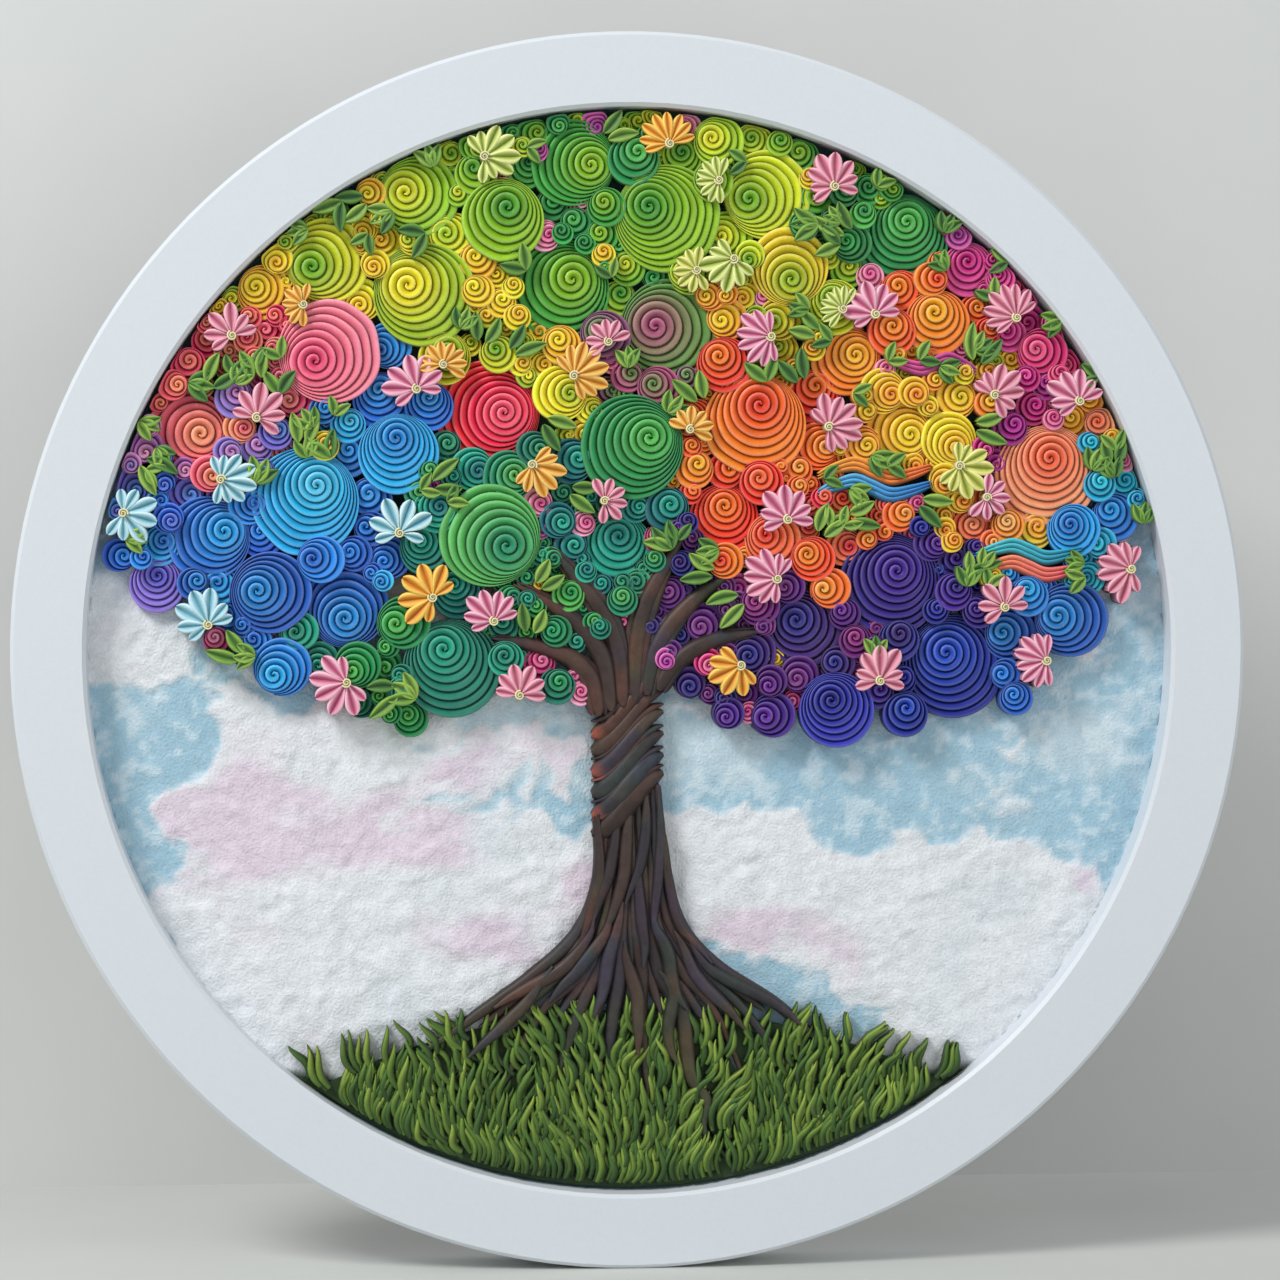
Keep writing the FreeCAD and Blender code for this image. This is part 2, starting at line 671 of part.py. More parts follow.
def build_hill():
    roots = [root_outline(i, PAPER_GAP) for i in range(ROOT_COUNT)]
    lawn = prism(hill_outline(), HILL_H).cut([prism(outline, HILL_H) for outline in roots])
    save("grass_hill", [lawn])
    rows = {"grass_blades_upper": [], "grass_blades_lower": []}
    row_count = int((HILL_TOP_Z + EDGE_UNITS) / BLADE_ROW)
    for row in range(row_count):
        foot_z = HILL_TOP_Z - BLADE_L - CREST_GAP - BLADE_ROW * row
        count = int(EDGE_UNITS / BLADE_PITCH)
        for k in range(-count, count + 1):
            x = BLADE_PITCH * (k + 0.5 * (row % 2))
            drop = HILL_R - math.sqrt(HILL_R ** 2 - x * x)
            lean = math.radians(BLADE_LEAN) * x / EDGE_UNITS
            outline = blade_outline(x, foot_z - drop, lean)
            touches_root = any(
                inside(along(a, b, t / EDGE_PROBES), root)
                for root in roots for a, b in zip(outline, outline[1:] + outline[:1])
                for t in range(EDGE_PROBES)
            )
            in_view = max(math.hypot(*corner) for corner in outline) < EDGE_UNITS - PAPER_GAP
            if in_view and not touches_root:
                name = "grass_blades_upper" if row < row_count / 2 else "grass_blades_lower"
                rows[name].append(prism(outline, BLADE_H, SKY_FRONT - HILL_H))
    for name, blades in rows.items():
        save(name, blades)


def build_clouds():
    """Puffs run together into banks, clipped to the sky that the rest leaves bare."""
    front = SKY_FRONT - CLOUD_H
    sky = disc((EDGE_UNITS - CLOUD_MARGIN) * SCALE, front, CLOUD_H)
    hill_z = (HILL_TOP_Z - HILL_R) * SCALE
    hill = disc((HILL_R + CLOUD_MARGIN) * SCALE, front, CLOUD_H, z=hill_z)
    left = [(row[0][0] - CLOUD_MARGIN, row[0][1] + CLOUD_MARGIN) for row in ROOT_ROWS]
    right = [(row[1][0] + CLOUD_MARGIN, row[1][1] + CLOUD_MARGIN) for row in ROOT_ROWS]
    trunk = [(left[0][0], 0.0)] + left + list(ROOT_TIPS) + right[::-1] + [(right[0][0], 0.0)]
    canopy = [(x, z - CLOUD_MARGIN) for x, z in HEM]
    canopy += [(HEM[-1][0], EDGE_UNITS), (HEM[0][0], EDGE_UNITS)]
    bare = sky.cut([hill, prism(trunk, CLOUD_H), prism(canopy, CLOUD_H)])
    banks = []
    for puffs in CLOUDS:
        first, *others = [prism(polygon((x, z), r, PUFF_FACETS), CLOUD_H) for x, z, r in puffs]
        banks.append(first.fuse(others).common(bare).removeSplitter())
    save("cloud_plaster", banks)


os.makedirs("parts", exist_ok=True)
build_frame()
build_tree()
build_canopy()
build_hill()
build_clouds()
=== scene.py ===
# Looks of the quilled paper tree: rolled coils, petals, leaves, bark, grass and painted plaster.
# The layout is in millimetres, x right and z up as seen from the front, and y towards the wall.
import math
import bpy
import numpy as np
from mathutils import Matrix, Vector
from mathutils.geometry import convex_hull_2d

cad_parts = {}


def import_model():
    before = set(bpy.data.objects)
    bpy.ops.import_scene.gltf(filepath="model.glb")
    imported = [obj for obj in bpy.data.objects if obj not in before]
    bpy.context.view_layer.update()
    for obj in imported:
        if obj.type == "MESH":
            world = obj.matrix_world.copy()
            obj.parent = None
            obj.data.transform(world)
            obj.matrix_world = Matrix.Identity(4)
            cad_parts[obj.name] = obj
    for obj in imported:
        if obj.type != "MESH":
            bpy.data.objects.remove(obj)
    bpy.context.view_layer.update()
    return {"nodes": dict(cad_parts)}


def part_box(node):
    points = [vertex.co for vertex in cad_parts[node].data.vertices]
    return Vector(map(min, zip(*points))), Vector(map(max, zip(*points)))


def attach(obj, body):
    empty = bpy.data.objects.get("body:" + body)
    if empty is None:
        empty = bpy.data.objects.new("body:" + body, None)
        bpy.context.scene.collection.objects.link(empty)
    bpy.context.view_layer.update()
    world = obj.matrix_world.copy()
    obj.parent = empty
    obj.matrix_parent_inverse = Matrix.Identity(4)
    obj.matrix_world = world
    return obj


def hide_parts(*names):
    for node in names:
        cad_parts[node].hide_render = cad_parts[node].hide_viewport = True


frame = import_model()
nodes = frame["nodes"]

MM = 0.001
TAU = 2 * math.pi
SKY_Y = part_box("sky_board")[0].y / MM       # front of the board that carries the paper
OPEN_R = 176.0                              # radius of the frame's opening
PAPER_R = 175.4                             # paper stays inside this radius

# Strip heights above the board. Coils overlap, so each takes a level that few neighbours have.
COIL_LEVELS = (4.8, 5.6, 6.4, 7.2, 8.0, 8.8)
PETAL_TOP = 11.7
LEAF_TOP = 10.9
ROOT_TOP = 6.2
TWIST_TOP = 9.0
BRANCH_TOP = 9.4
WAVE_TOP = 9.4

GROWTH = 1.22                               # how far a coil spreads over its neighbours
LEVEL_LIFT = 1.0                            # rise from a coil's rim to its head
RIM_ANGLES = 72                             # points round a coil's rim
BUD_R = 4.2                                 # coils under this radius may have a bud's colours
PETAL_LENGTHS = (8.0, 11.5)                 # least and most in a fan that a solid stands for

FILLER_R = (1.4, 7.0)                       # least and largest radius of the discs between coils
FILLER_GRID = 1.3                           # spacing of the places that are tried for them
SPLITS = 12                                 # parts of each span of a smoothed line

GRASS_ROWS = (-118, -180, -3.9)             # first row, last row and their spacing
GRASS_COLUMNS = (-120, 121, 2.15)
GRASS_R, GRASS_PULL = 173.4, 5.1            # blades rooted this little outside it are moved in
CREST_Z = -117                              # top of the mound at its middle
CREST_FALL = 0.0015                         # how the mound falls off to both sides

SKY_STEP = 1.25                             # spacing of the plaster's points
SKY_TOP, SKY_LOW = 60, -150                 # the canopy and the mound cover the rest

# Outer and inner paper colour of a zone's coils, one pair a coil
ZONE_PAINTS = {
    "lime": ("c9d335 5f9a2c", "a8c83a e3dc4a", "8fb53a 3f8a3a", "d8d63c 8fb93a"),
    "green": ("3f8f3f 8fb43a", "2f7f4a 5fae5a", "6fa53a c8cf3c", "2f7040 3f9a50"),
    "yellow": ("f2d92c e8b51f", "f5e14a 9ab52e", "e9c52b f6e45a", "c9c92f 5f9f3a"),
    "amber": ("f0b42a f7d84a", "ee9a2b f4c84b", "f3c63a e88a2a", "d9c23a 8fae3a"),
    "orange": ("e8682a f09a3a", "f08a2c f5b54a", "e2512f f28c3c", "d9502a ee8a3a"),
    "magenta": ("b8307a d9679f", "a52a6a c94f8f", "c03a6f e0708f", "8f2f78 b84f98"),
    "rose": ("d9506f ec8a7a", "e0656f f2a07f", "c8406a e87f8a", "e8707a f0b08a"),
    "pink": ("e0607f f0909f", "d84f78 e8a08f", "e87f8a f4a89a", "c84a78 e07f9a"),
    "lilac": ("8f7fc0 c98fbf", "7a6fc0 5f8fd0", "a86fb0 d99fb8", "e0707f f0a07f"),
    "azure": ("2f8fcf 1f6fae", "3fa0d0 6fc0dd", "2a7fc0 4fa8d8", "3a6fc0 5f9fd8"),
    "crimson": ("c0203f e0506a", "b01f48 d84f6a", "d8304a f07080", "c83050 e86070"),
    "mauve": ("8a5a7a 6f9a5a", "5f8a4a a85a7a", "9a4f70 c88098", "4f8a4a 8fb05a"),
    "coral": ("ea5f3f f29a5a", "e0504a f08060", "f07a4a f4b070", "d8485a f0886a"),
    "peach": ("f09a5a f4c08a", "ee7f5f f5ab6a", "e8705a f0a080", "f0a040 f6c86a"),
    "cyan": ("2f9fc0 5fc5d5", "1f7fb8 4fb0d0", "2f8f9f 5fc0b8", "2a70b8 4f9fd8"),
    "teal": ("1f7f7a 3f9f8a", "17656f 2fa08a", "2a7f60 5fa860", "1f6a5a 3f8f6a"),
    "purple": ("4a2468 743f90", "3b2462 32347f", "552a70 864d88", "62286a 9a4a80"),
    "indigo": ("26297a 3f42a0", "30246e 4c338a", "1f3080 3654b0", "3f2876 683f96"),
    "blue": ("1f70c4 3f9ce0", "2560b0 3f8cd8", "2a82c8 5fb2e0", "2a5aa4 4f92cc"),
    "royal": ("2f60b8 4f90d8", "3a66be 6a78c8", "2a6cb8 4fa4d8", "5a5cb8 8f7cc8"),
    "emerald": ("12704a 2fa06a", "0f6a5a 3f9a5f", "1a7f4a 5fae5a", "17705f 2f9a80"),
}
# Outer, middle and inner colour of a flower's petals
FLOWER_PAINTS = {
    "pink": ("f6c3d2 e56f9a a83a68", "f4b8c8 e07a8f b04a70"),
    "orange": ("fbd268 f29a1e c86810", "f9cf7c f0a422 c87618"),
    "lime": ("f3ec9c c9d04a 7f962c", "eef2a8 b9cc4a 6f8f2c"),
    "sky": ("d9f0f2 7fc8d8 3f8fae", "cfe9f2 8fd0e0 4f9fb8"),
}
LEAF_PAINTS = ("86ad4a 2f6a2a", "6f9a40 24562a", "9ab852 3f7a30", "5f8f3f 1e4f2a")
BUD_PAINTS = ("e88fb0 c8487f", "f0a8c0 d0608f", "d87ab8 a0489a", "f4dc5a d8a82a")
WAVE_PAINTS = ("4fc0c8 1f7fa0", "f08a5a e05a6a", "f0a040 e86a3a", "5fb0d8 2a70b8", "d85a98 a03a80")
BARK_PAINTS = ("43332f", "3a3033", "4c3a34", "37333a", "3f3742")
BARK_PATCHES = ("3f4c5e", "36483f", "4f5238", "4b3b52", "6f4436", "5c443a")
# Dark foot and light tip colour of a grass blade: the change along a blade is painted shade at the foot
# and painted light at the tip
GRASS_PAINTS = ("2c4a1c 6f9436", "35581f 86a83e", "24401c 557f30", "426a24 a3bd4c")

GRASS_SHADE = 0.62
BARK_SHADE = 0.66
VIVID = 1.3                                 # how much purer the coils' colours are than listed

rng = np.random.default_rng(7)


def paint(text):
    """Linear colour of an sRGB hex string."""
    c = np.array([int(text[i:i + 2], 16) for i in (0, 2, 4)]) / 255
    return np.where(c <= 0.04045, c / 12.92, ((c + 0.055) / 1.055) ** 2.4)


def paints(text):
    """The colours of a string of hex words."""
    return [paint(word) for word in text.split()]


def vivid(tint):
    """The same colour with less grey in it."""
    grey = tint.mean(-1, keepdims=True)
    return np.clip(grey + VIVID * (tint - grey), 0, 1)


def pick(choices):
    return choices[rng.integers(len(choices))]


# Random fields


def lattice(i, k, seed):
    h = np.sin(i * 127.1 + k * 311.7 + seed * 74.7) * 43758.5453
    return 2 * (h - np.floor(h)) - 1


def noise(x, z, size, seed, octaves=4, rough=0.5):
    """Smooth random field, about -1 to 1, with features of that size in mm."""
    total = np.zeros(np.broadcast(x, z).shape)
    weight = whole = 1.0
    for octave in range(octaves):
        u, v = x / size + 13.7 * octave, z / size - 9.1 * octave
        i, k = np.floor(u), np.floor(v)
        fu, fv = u - i, v - k
        fu, fv = fu * fu * (3 - 2 * fu), fv * fv * (3 - 2 * fv)
        low = lattice(i, k, seed) * (1 - fu) + lattice(i + 1, k, seed) * fu
        high = lattice(i, k + 1, seed) * (1 - fu) + lattice(i + 1, k + 1, seed) * fu
        total += weight * (low * (1 - fv) + high * fv)
        weight *= rough
        whole += weight
        size /= 2
    return 1.6 * total / whole


def smooth(low, high, value):
    t = np.clip((value - low) / (high - low), 0, 1)
    return t * t * (3 - 2 * t)


# Meshes


class Paper:
    """Gathers ridges of paper and turns them into one coloured mesh."""

    def __init__(self):
        self.points, self.quads, self.tints, self.count = [], [], [], 0

    def add(self, points, quads, tints):
        self.points.append(points)
        self.quads.append(quads + self.count)
        self.tints.append(tints)
        self.count += len(points)

    def band(self, edge, inner, top, tint, section, relief, rim=None, foot=0.0):
        """Strip on edge between two curves: top is its height above the board, tint its colour and rim
        the colour laid on its lit edge, a painted highlight where it is a paler copy of the tint. The
        section's light column paints shade and highlight across it. Its face falls from the crest by
        relief times its width."""
        n = len(edge)
        width = np.linalg.norm(inner - edge, axis=1)
        top = np.broadcast_to(top, n)
        tint = np.broadcast_to(tint, (n, 3))
        rim = tint if rim is None else np.broadcast_to(rim, (n, 3))
        across, fall, light, lit = SECTIONS[section].T
        m = len(across)
        points = np.empty((n, m, 3))
        points[:, :, ::2] = edge[:, None, :] + (inner - edge)[:, None, :] * across[None, :, None]
        drop = np.minimum(relief * width, np.minimum(0.6 * top, DEEPEST[section]))
        crest = top[:, None] - drop[:, None] * fall[None, :]
        points[:, :, 1] = SKY_Y - np.where(fall[None, :] == FOOT, foot, crest)
        # Painted light: the rim's colour on the lit edge is a painted highlight where it is a paler
        # copy of the tint, and the light factor paints a highlight on the crest and shade on the walls,
        # in the fold and at the foot
        tints = tint[:, None, :] * (1 - lit)[None, :, None] + rim[:, None, :] * lit[None, :, None]
        tints = tints * light[None, :, None]
        rows = np.arange(n - 1)
        a = rows[:, None] * m + np.arange(m - 1)[None, :]
        quads = np.stack([a, a + m, a + m + 1, a + 1], -1).reshape(-1, 4)
        first = np.flatnonzero(width == width.max())[0]
        ahead = edge[min(first + 1, n - 1)] - edge[max(first - 1, 0)]
        over = inner[first] - edge[first]
        if ahead[0] * over[1] - ahead[1] * over[0] < 0:
            quads = quads[:, ::-1]
        self.add(points.reshape(-1, 3), quads, tints.reshape(-1, 3))

    def ridge(self, path, half, top, tint, section="cord", relief=0.45, rim=None, foot=0.0):
        """Strip of that half width along a path."""
        path = np.asarray(path, float)
        along = np.gradient(path, axis=0)
        along /= np.maximum(np.linalg.norm(along, axis=1, keepdims=True), 1e-9)
        side = np.stack([-along[:, 1], along[:, 0]], 1) * np.broadcast_to(half, len(path))[:, None]
        self.band(path + side, path - side, top, tint, section, relief, rim, foot)

    def piece(self, name, material, slot, *replaced):
        mesh = bpy.data.meshes.new(name)
        points = np.concatenate(self.points) * MM
        quads = np.concatenate(self.quads)
        mesh.vertices.add(len(points))
        mesh.vertices.foreach_set("co", points.astype(np.float32).ravel())
        mesh.loops.add(quads.size)
        mesh.loops.foreach_set("vertex_index", quads.astype(np.int32).ravel())
        mesh.polygons.add(len(quads))
        mesh.polygons.foreach_set("loop_start", np.arange(0, quads.size, 4, dtype=np.int32))
        mesh.polygons.foreach_set("use_smooth", np.ones(len(quads), bool))
        # The tint attribute holds each point's colour together with its painted light and shade
        tint = mesh.color_attributes.new("tint", "FLOAT_COLOR", "POINT")
        colours = np.ones((len(points), 4), np.float32)
        colours[:, :3] = np.clip(np.concatenate(self.tints), 0, 1)
        tint.data.foreach_set("color", colours.ravel())
        mesh.update(calc_edges=True)
        mesh.materials.append(material)
        piece = bpy.data.objects.new(name, mesh)
        bpy.context.scene.collection.objects.link(piece)
        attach(piece, "root")
        if replaced:
            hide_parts(*replaced)
        return piece


# Most that a cross-section falls from its crest, in mm
DEEPEST = {"coil": 1.15, "cord": 9.0, "leaf": 9.0, "blade": 9.0}

# Cross-sections: share of the way across, fall from the crest, light, share of the rim's colour. Light
# is painted light and shade: it multiplies the colour, above 1 a painted highlight on the crest and
# edge, below 1 painted shade on the walls, in the fold and at the foot; the rim's colour on the lit
# edge is mostly a painted highlight
FOOT = -1.0
SECTIONS = {
    "coil": np.array([
        (0.0, FOOT, 0.4, 0.0), (0.0, 0.45, 0.78, 0.3), (0.1, 0.06, 1.2, 0.75), (0.4, 0.06, 1.0, 0.1),
        (0.74, 0.4, 0.7, 0.0), (1.12, 1.35, 0.22, 0.0),
    ]),
    "cord": np.array([
        (0.0, FOOT, 0.3, 0.0), (0.0, 0.75, 0.4, 0.0), (0.06, 0.4, 0.75, 0.0), (0.2, 0.1, 1.02, 0.2),
        (0.45, 0.0, 1.1, 0.25), (0.75, 0.1, 0.98, 0.0), (0.94, 0.4, 0.7, 0.0), (1.0, 0.75, 0.4, 0.0),
        (1.0, FOOT, 0.3, 0.0),
    ]),
    "leaf": np.array([
        (0.0, FOOT, 0.4, 0.0), (0.0, 0.5, 0.8, 0.6), (0.06, 0.08, 1.15, 1.0), (0.18, 0.0, 1.08, 0.75),
        (0.36, 0.35, 0.95, 0.1), (0.5, 0.75, 0.6, 0.0), (0.64, 0.35, 0.95, 0.1),
        (0.82, 0.0, 1.08, 0.75), (0.94, 0.08, 1.15, 1.0), (1.0, 0.5, 0.8, 0.6), (1.0, FOOT, 0.4, 0.0),
    ]),
    "blade": np.array([
        (0.0, FOOT, 0.3, 0.0), (0.0, 0.7, 0.55, 0.2), (0.15, 0.1, 1.12, 0.8), (0.55, 0.08, 1.0, 0.1),
        (0.88, 0.5, 0.6, 0.0), (1.0, 1.0, 0.35, 0.0), (1.0, FOOT, 0.3, 0.0),
    ]),
}


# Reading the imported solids


def caps(name):
    """Front faces of a CAD node's prisms, each as its closed outline of (x, z) points."""
    mesh = nodes[name].data
    mesh.calc_loop_triangles()
    points = np.array([v.co for v in mesh.vertices]) / MM
    keys = [tuple(np.round(p, 2)) for p in points]
    follows = {}
    for triangle in mesh.loop_triangles:
        if triangle.normal.y > -0.99:
            continue
        corners = [keys[i] for i in triangle.vertices]
        for a, b in zip(corners, corners[1:] + corners[:1]):
            if follows.get(b) and a in follows[b]:
                follows[b].remove(a)
            else:
                follows.setdefault(a, []).append(b)
    outlines = []
    while any(follows.values()):
        start = next(key for key, after in follows.items() if after)
        outline, key = [], start
        while follows.get(key):
            outline.append((key[0], key[2]))
            key = follows[key].pop()
        outlines.append(np.array(outline))
    return outlines


def area_of(outline):
    x, z = outline.T
    return abs(np.dot(x, np.roll(z, -1)) - np.dot(z, np.roll(x, -1))) / 2


def hull_of(outline):
    return outline[convex_hull_2d([tuple(p) for p in outline])]


def middle_of(outline):
    x, z = outline.T
    cross = x * np.roll(z, -1) - z * np.roll(x, -1)
    whole = cross.sum() * 3
    return np.array([
        ((x + np.roll(x, -1)) * cross).sum() / whole, ((z + np.roll(z, -1)) * cross).sum() / whole,
    ])


def ribbon_of(outline, weight):
    """Centre line and half widths of a strip's outline, from the end where weight is greatest."""
    middles = (outline + np.roll(outline, -1, 0)) / 2
    start = int(np.argmax(middles @ np.array(weight)))
    turned = np.roll(outline, -start - 1, 0)
    half = len(turned) // 2
    there, back = turned[:half], turned[::-1][:half]
    return (there + back) / 2, np.linalg.norm(there - back, axis=1) / 2


def resample(line, step, *values):
    """Smooth line through the points at even steps, with the values carried along."""
    line = np.asarray(line, float)
    padded = np.vstack([2 * line[0] - line[1], line, 2 * line[-1] - line[-2]])
    t = np.linspace(0, 1, SPLITS, endpoint=False)[:, None]
    runs = []
    for a, b, c, d in zip(padded, padded[1:], padded[2:], padded[3:]):
        runs.append(b + 0.5 * t * (c - a + t * (2 * a - 5 * b + 4 * c - d + t * (3 * (b - c) + d - a))))
    fine = np.vstack(runs + [line[-1:]])
    gone = np.concatenate([[0], np.cumsum(np.linalg.norm(np.diff(fine, axis=0), axis=1))])
    marks = gone[::SPLITS]
    even = np.linspace(0, gone[-1], max(4, int(gone[-1] / step)))
    path = np.stack([np.interp(even, gone, fine[:, i]) for i in (0, 1)], 1)
    return (path, *[np.interp(even, marks, value) for value in values])


def heading(x, z):
    """Direction that a coil's core leans to, as in the solids."""
    return math.pi / 2 + 1.2 * (math.sin(x / 20) + math.cos(z / 20))


# Canopy layout

coil_discs = []       # x, z, r, node
for name in sorted(nodes):
    if name.startswith("coils_"):
        for outline in caps(name):
            hull = hull_of(outline)
            x, z = middle_of(hull)
            coil_discs.append((x, z, 0.92 * math.sqrt(area_of(hull) / math.pi), name))

flower_fans = []      # eye, outline of the fan
petal_caps = caps("flower_petals")
for eye in caps("flower_eyes"):
    centre = eye.mean(0)
    fan = min(petal_caps, key=lambda cap: np.linalg.norm(cap - centre, axis=1).min())
    flower_fans.append((centre, hull_of(fan)))

leaf_kites = []       # foot, tip, half width
for kite in caps("leaves"):
    spans = [np.linalg.norm(kite[i] - kite[(i + 2) % 4]) for i in (0, 1)]
    first = int(np.argmax(spans))
    a, b = kite[first], kite[(first + 2) % 4]
    belly = (kite[(first + 1) % 4] + kite[(first + 3) % 4]) / 2
    foot, tip = (a, b) if np.linalg.norm(belly - a) < np.linalg.norm(belly - b) else (b, a)
    leaf_kites.append((foot, tip, min(spans) / 2))

branch_lines = [ribbon_of(outline, (0, -1)) for outline in caps("branches")]
wave_lines = [ribbon_of(outline, (-1, 0)) for outline in caps("wavy_strips")]

obstacles = []        # x, z, r of what coils press against
for eye, fan in flower_fans:
    obstacles.append((*middle_of(fan), 0.6 * math.sqrt(area_of(fan) / math.pi)))
for foot, tip, belly in leaf_kites:
    obstacles += [(*(foot + (tip - foot) * share), 0.55 * belly) for share in (0.25, 0.5, 0.75)]
for line, half in branch_lines + wave_lines:
    path, width = resample(line, 2.0, half)
    obstacles += [(*p, 0.9 * w) for p, w in zip(path, width)]


def surrounded(x, z, discs):
    """True if discs lie near on every side of a point."""
    gap = np.hypot(discs[:, 0] - x, discs[:, 1] - z)
    if z > 45 and math.hypot(x, z) > PAPER_R - 16:
        return True
    near = (gap - discs[:, 2] < 9.0) & (gap > 0)
    angles = np.sort(np.arctan2(discs[near, 1] - z, discs[near, 0] - x))
    if len(angles) < 3:
        return False
    return max(np.diff(np.append(angles, angles[0] + TAU))) < math.radians(165)


def fill_gaps(least, most):
    """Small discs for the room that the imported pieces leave, largest first."""
    discs = np.array([disc[:3] for disc in coil_discs] + obstacles)
    x, z = np.meshgrid(np.arange(-174, 174, FILLER_GRID), np.arange(-40, 174, FILLER_GRID))
    x = (x + rng.uniform(-0.6, 0.6, x.shape)).ravel()
    z = (z + rng.uniform(-0.6, 0.6, z.shape)).ravel()
    room = PAPER_R - np.hypot(x, z)
    for dx, dz, dr in discs:
        room = np.minimum(room, np.hypot(x - dx, z - dz) - dr)
    fillers = []
    while room.max() > least:
        best = int(np.argmax(room))
        r = min(room[best], most)
        if surrounded(x[best], z[best], discs):
            fillers.append((x[best], z[best], r))
            room = np.minimum(room, np.hypot(x - x[best], z - z[best]) - r)
        else:
            room[best] = 0
    return fillers


def node_at(x, z):
    """Node of the coil that lies nearest, which gives a small coil its colours."""
    return min(coil_discs, key=lambda disc: math.hypot(disc[0] - x, disc[1] - z))[3]


small_flowers = []
for x, z, r in fill_gaps(*FILLER_R):
    chance = rng.random()
    off_flowers = min(math.hypot(x - eye[0], z - eye[1]) for eye, fan in flower_fans)
    by_the_boughs = abs(x) < 62 and z < 32
    leafy = r < 2.2 and chance < 0.42 or r < 4.2 and chance < 0.16
    if leafy and off_flowers > 7.5 and not by_the_boughs:
        facing = heading(x, z) + rng.uniform(-0.8, 0.8)
        length = 1.3 * r + 4.6
        back = np.array([math.cos(facing), math.sin(facing)])
        for lean in (-0.6, 0.6, 0.0)[:int(rng.integers(2, 4))]:
            out = np.array([math.cos(facing + lean), math.sin(facing + lean)])
            foot = np.array([x, z]) - 0.5 * length * back
            leaf_kites.append((foot, foot + length * out, 0.2 * length))
    if r > 4.4 and chance > 0.8 and off_flowers > 13:
        small_flowers.append((x, z, r))
    coil_discs.append((x, z, max(1.08 * r, 2.8), node_at(x, z)))

all_discs = np.array([disc[:3] for disc in coil_discs] + obstacles)


def outline_of(x, z, r, turn):
    """How far a coil reaches at each angle: longer on the side away from its head, a
    little flat where it lies on a neighbour, and clear of the frame."""
    angles = np.arange(RIM_ANGLES) * TAU / RIM_ANGLES
    u = np.stack([np.cos(angles), np.sin(angles)])
    out = x * u[0] + z * u[1]
    free = GROWTH * r * (1 - 0.12 * np.cos(angles - turn)) + 0.7
    dx, dz = all_discs[:, 0] - x, all_discs[:, 1] - z
    gap = np.hypot(dx, dz)
    near = (gap > 0.01) & (gap < 2 * r + all_discs[:, 2])
    ex, ez, er = dx[near][:, None], dz[near][:, None], all_discs[near, 2][:, None]
    towards = u[0] * ex + u[1] * ez
    meet = (ex * ex + ez * ez + r * r - er * er) / (2 * np.maximum(towards, 1e-6))
    meet = np.where(towards > 0, meet, 9 * r).min(0)
    edge = np.sqrt(PAPER_R ** 2 - x * x - z * z + out * out) - out
    reach = np.minimum(np.minimum(free, meet + 0.24 * r + 1.3), edge)
    soft = reach
    for _ in range(3):
        soft = (np.roll(soft, 1) + soft + np.roll(soft, -1)) / 3
    return np.minimum(soft, edge)


def levels_of(discs):
    """Height of each coil: one of those that the fewest coils it overlaps have."""
    chosen = {}
    for i in sorted(range(len(discs)), key=lambda k: -discs[k][2]):
        x, z, r = discs[i][:3]
        taken = [chosen[k] for k in chosen if math.hypot(discs[k][0] - x, discs[k][1] - z)
                 < GROWTH * (r + discs[k][2]) + 1.0]
        counts = [taken.count(level) for level in COIL_LEVELS]
        free = [level for level, count in zip(COIL_LEVELS, counts) if count == min(counts)]
        chosen[i] = free[int(rng.integers(len(free)))]
    return [chosen[i] for i in range(len(discs))]


# Coils


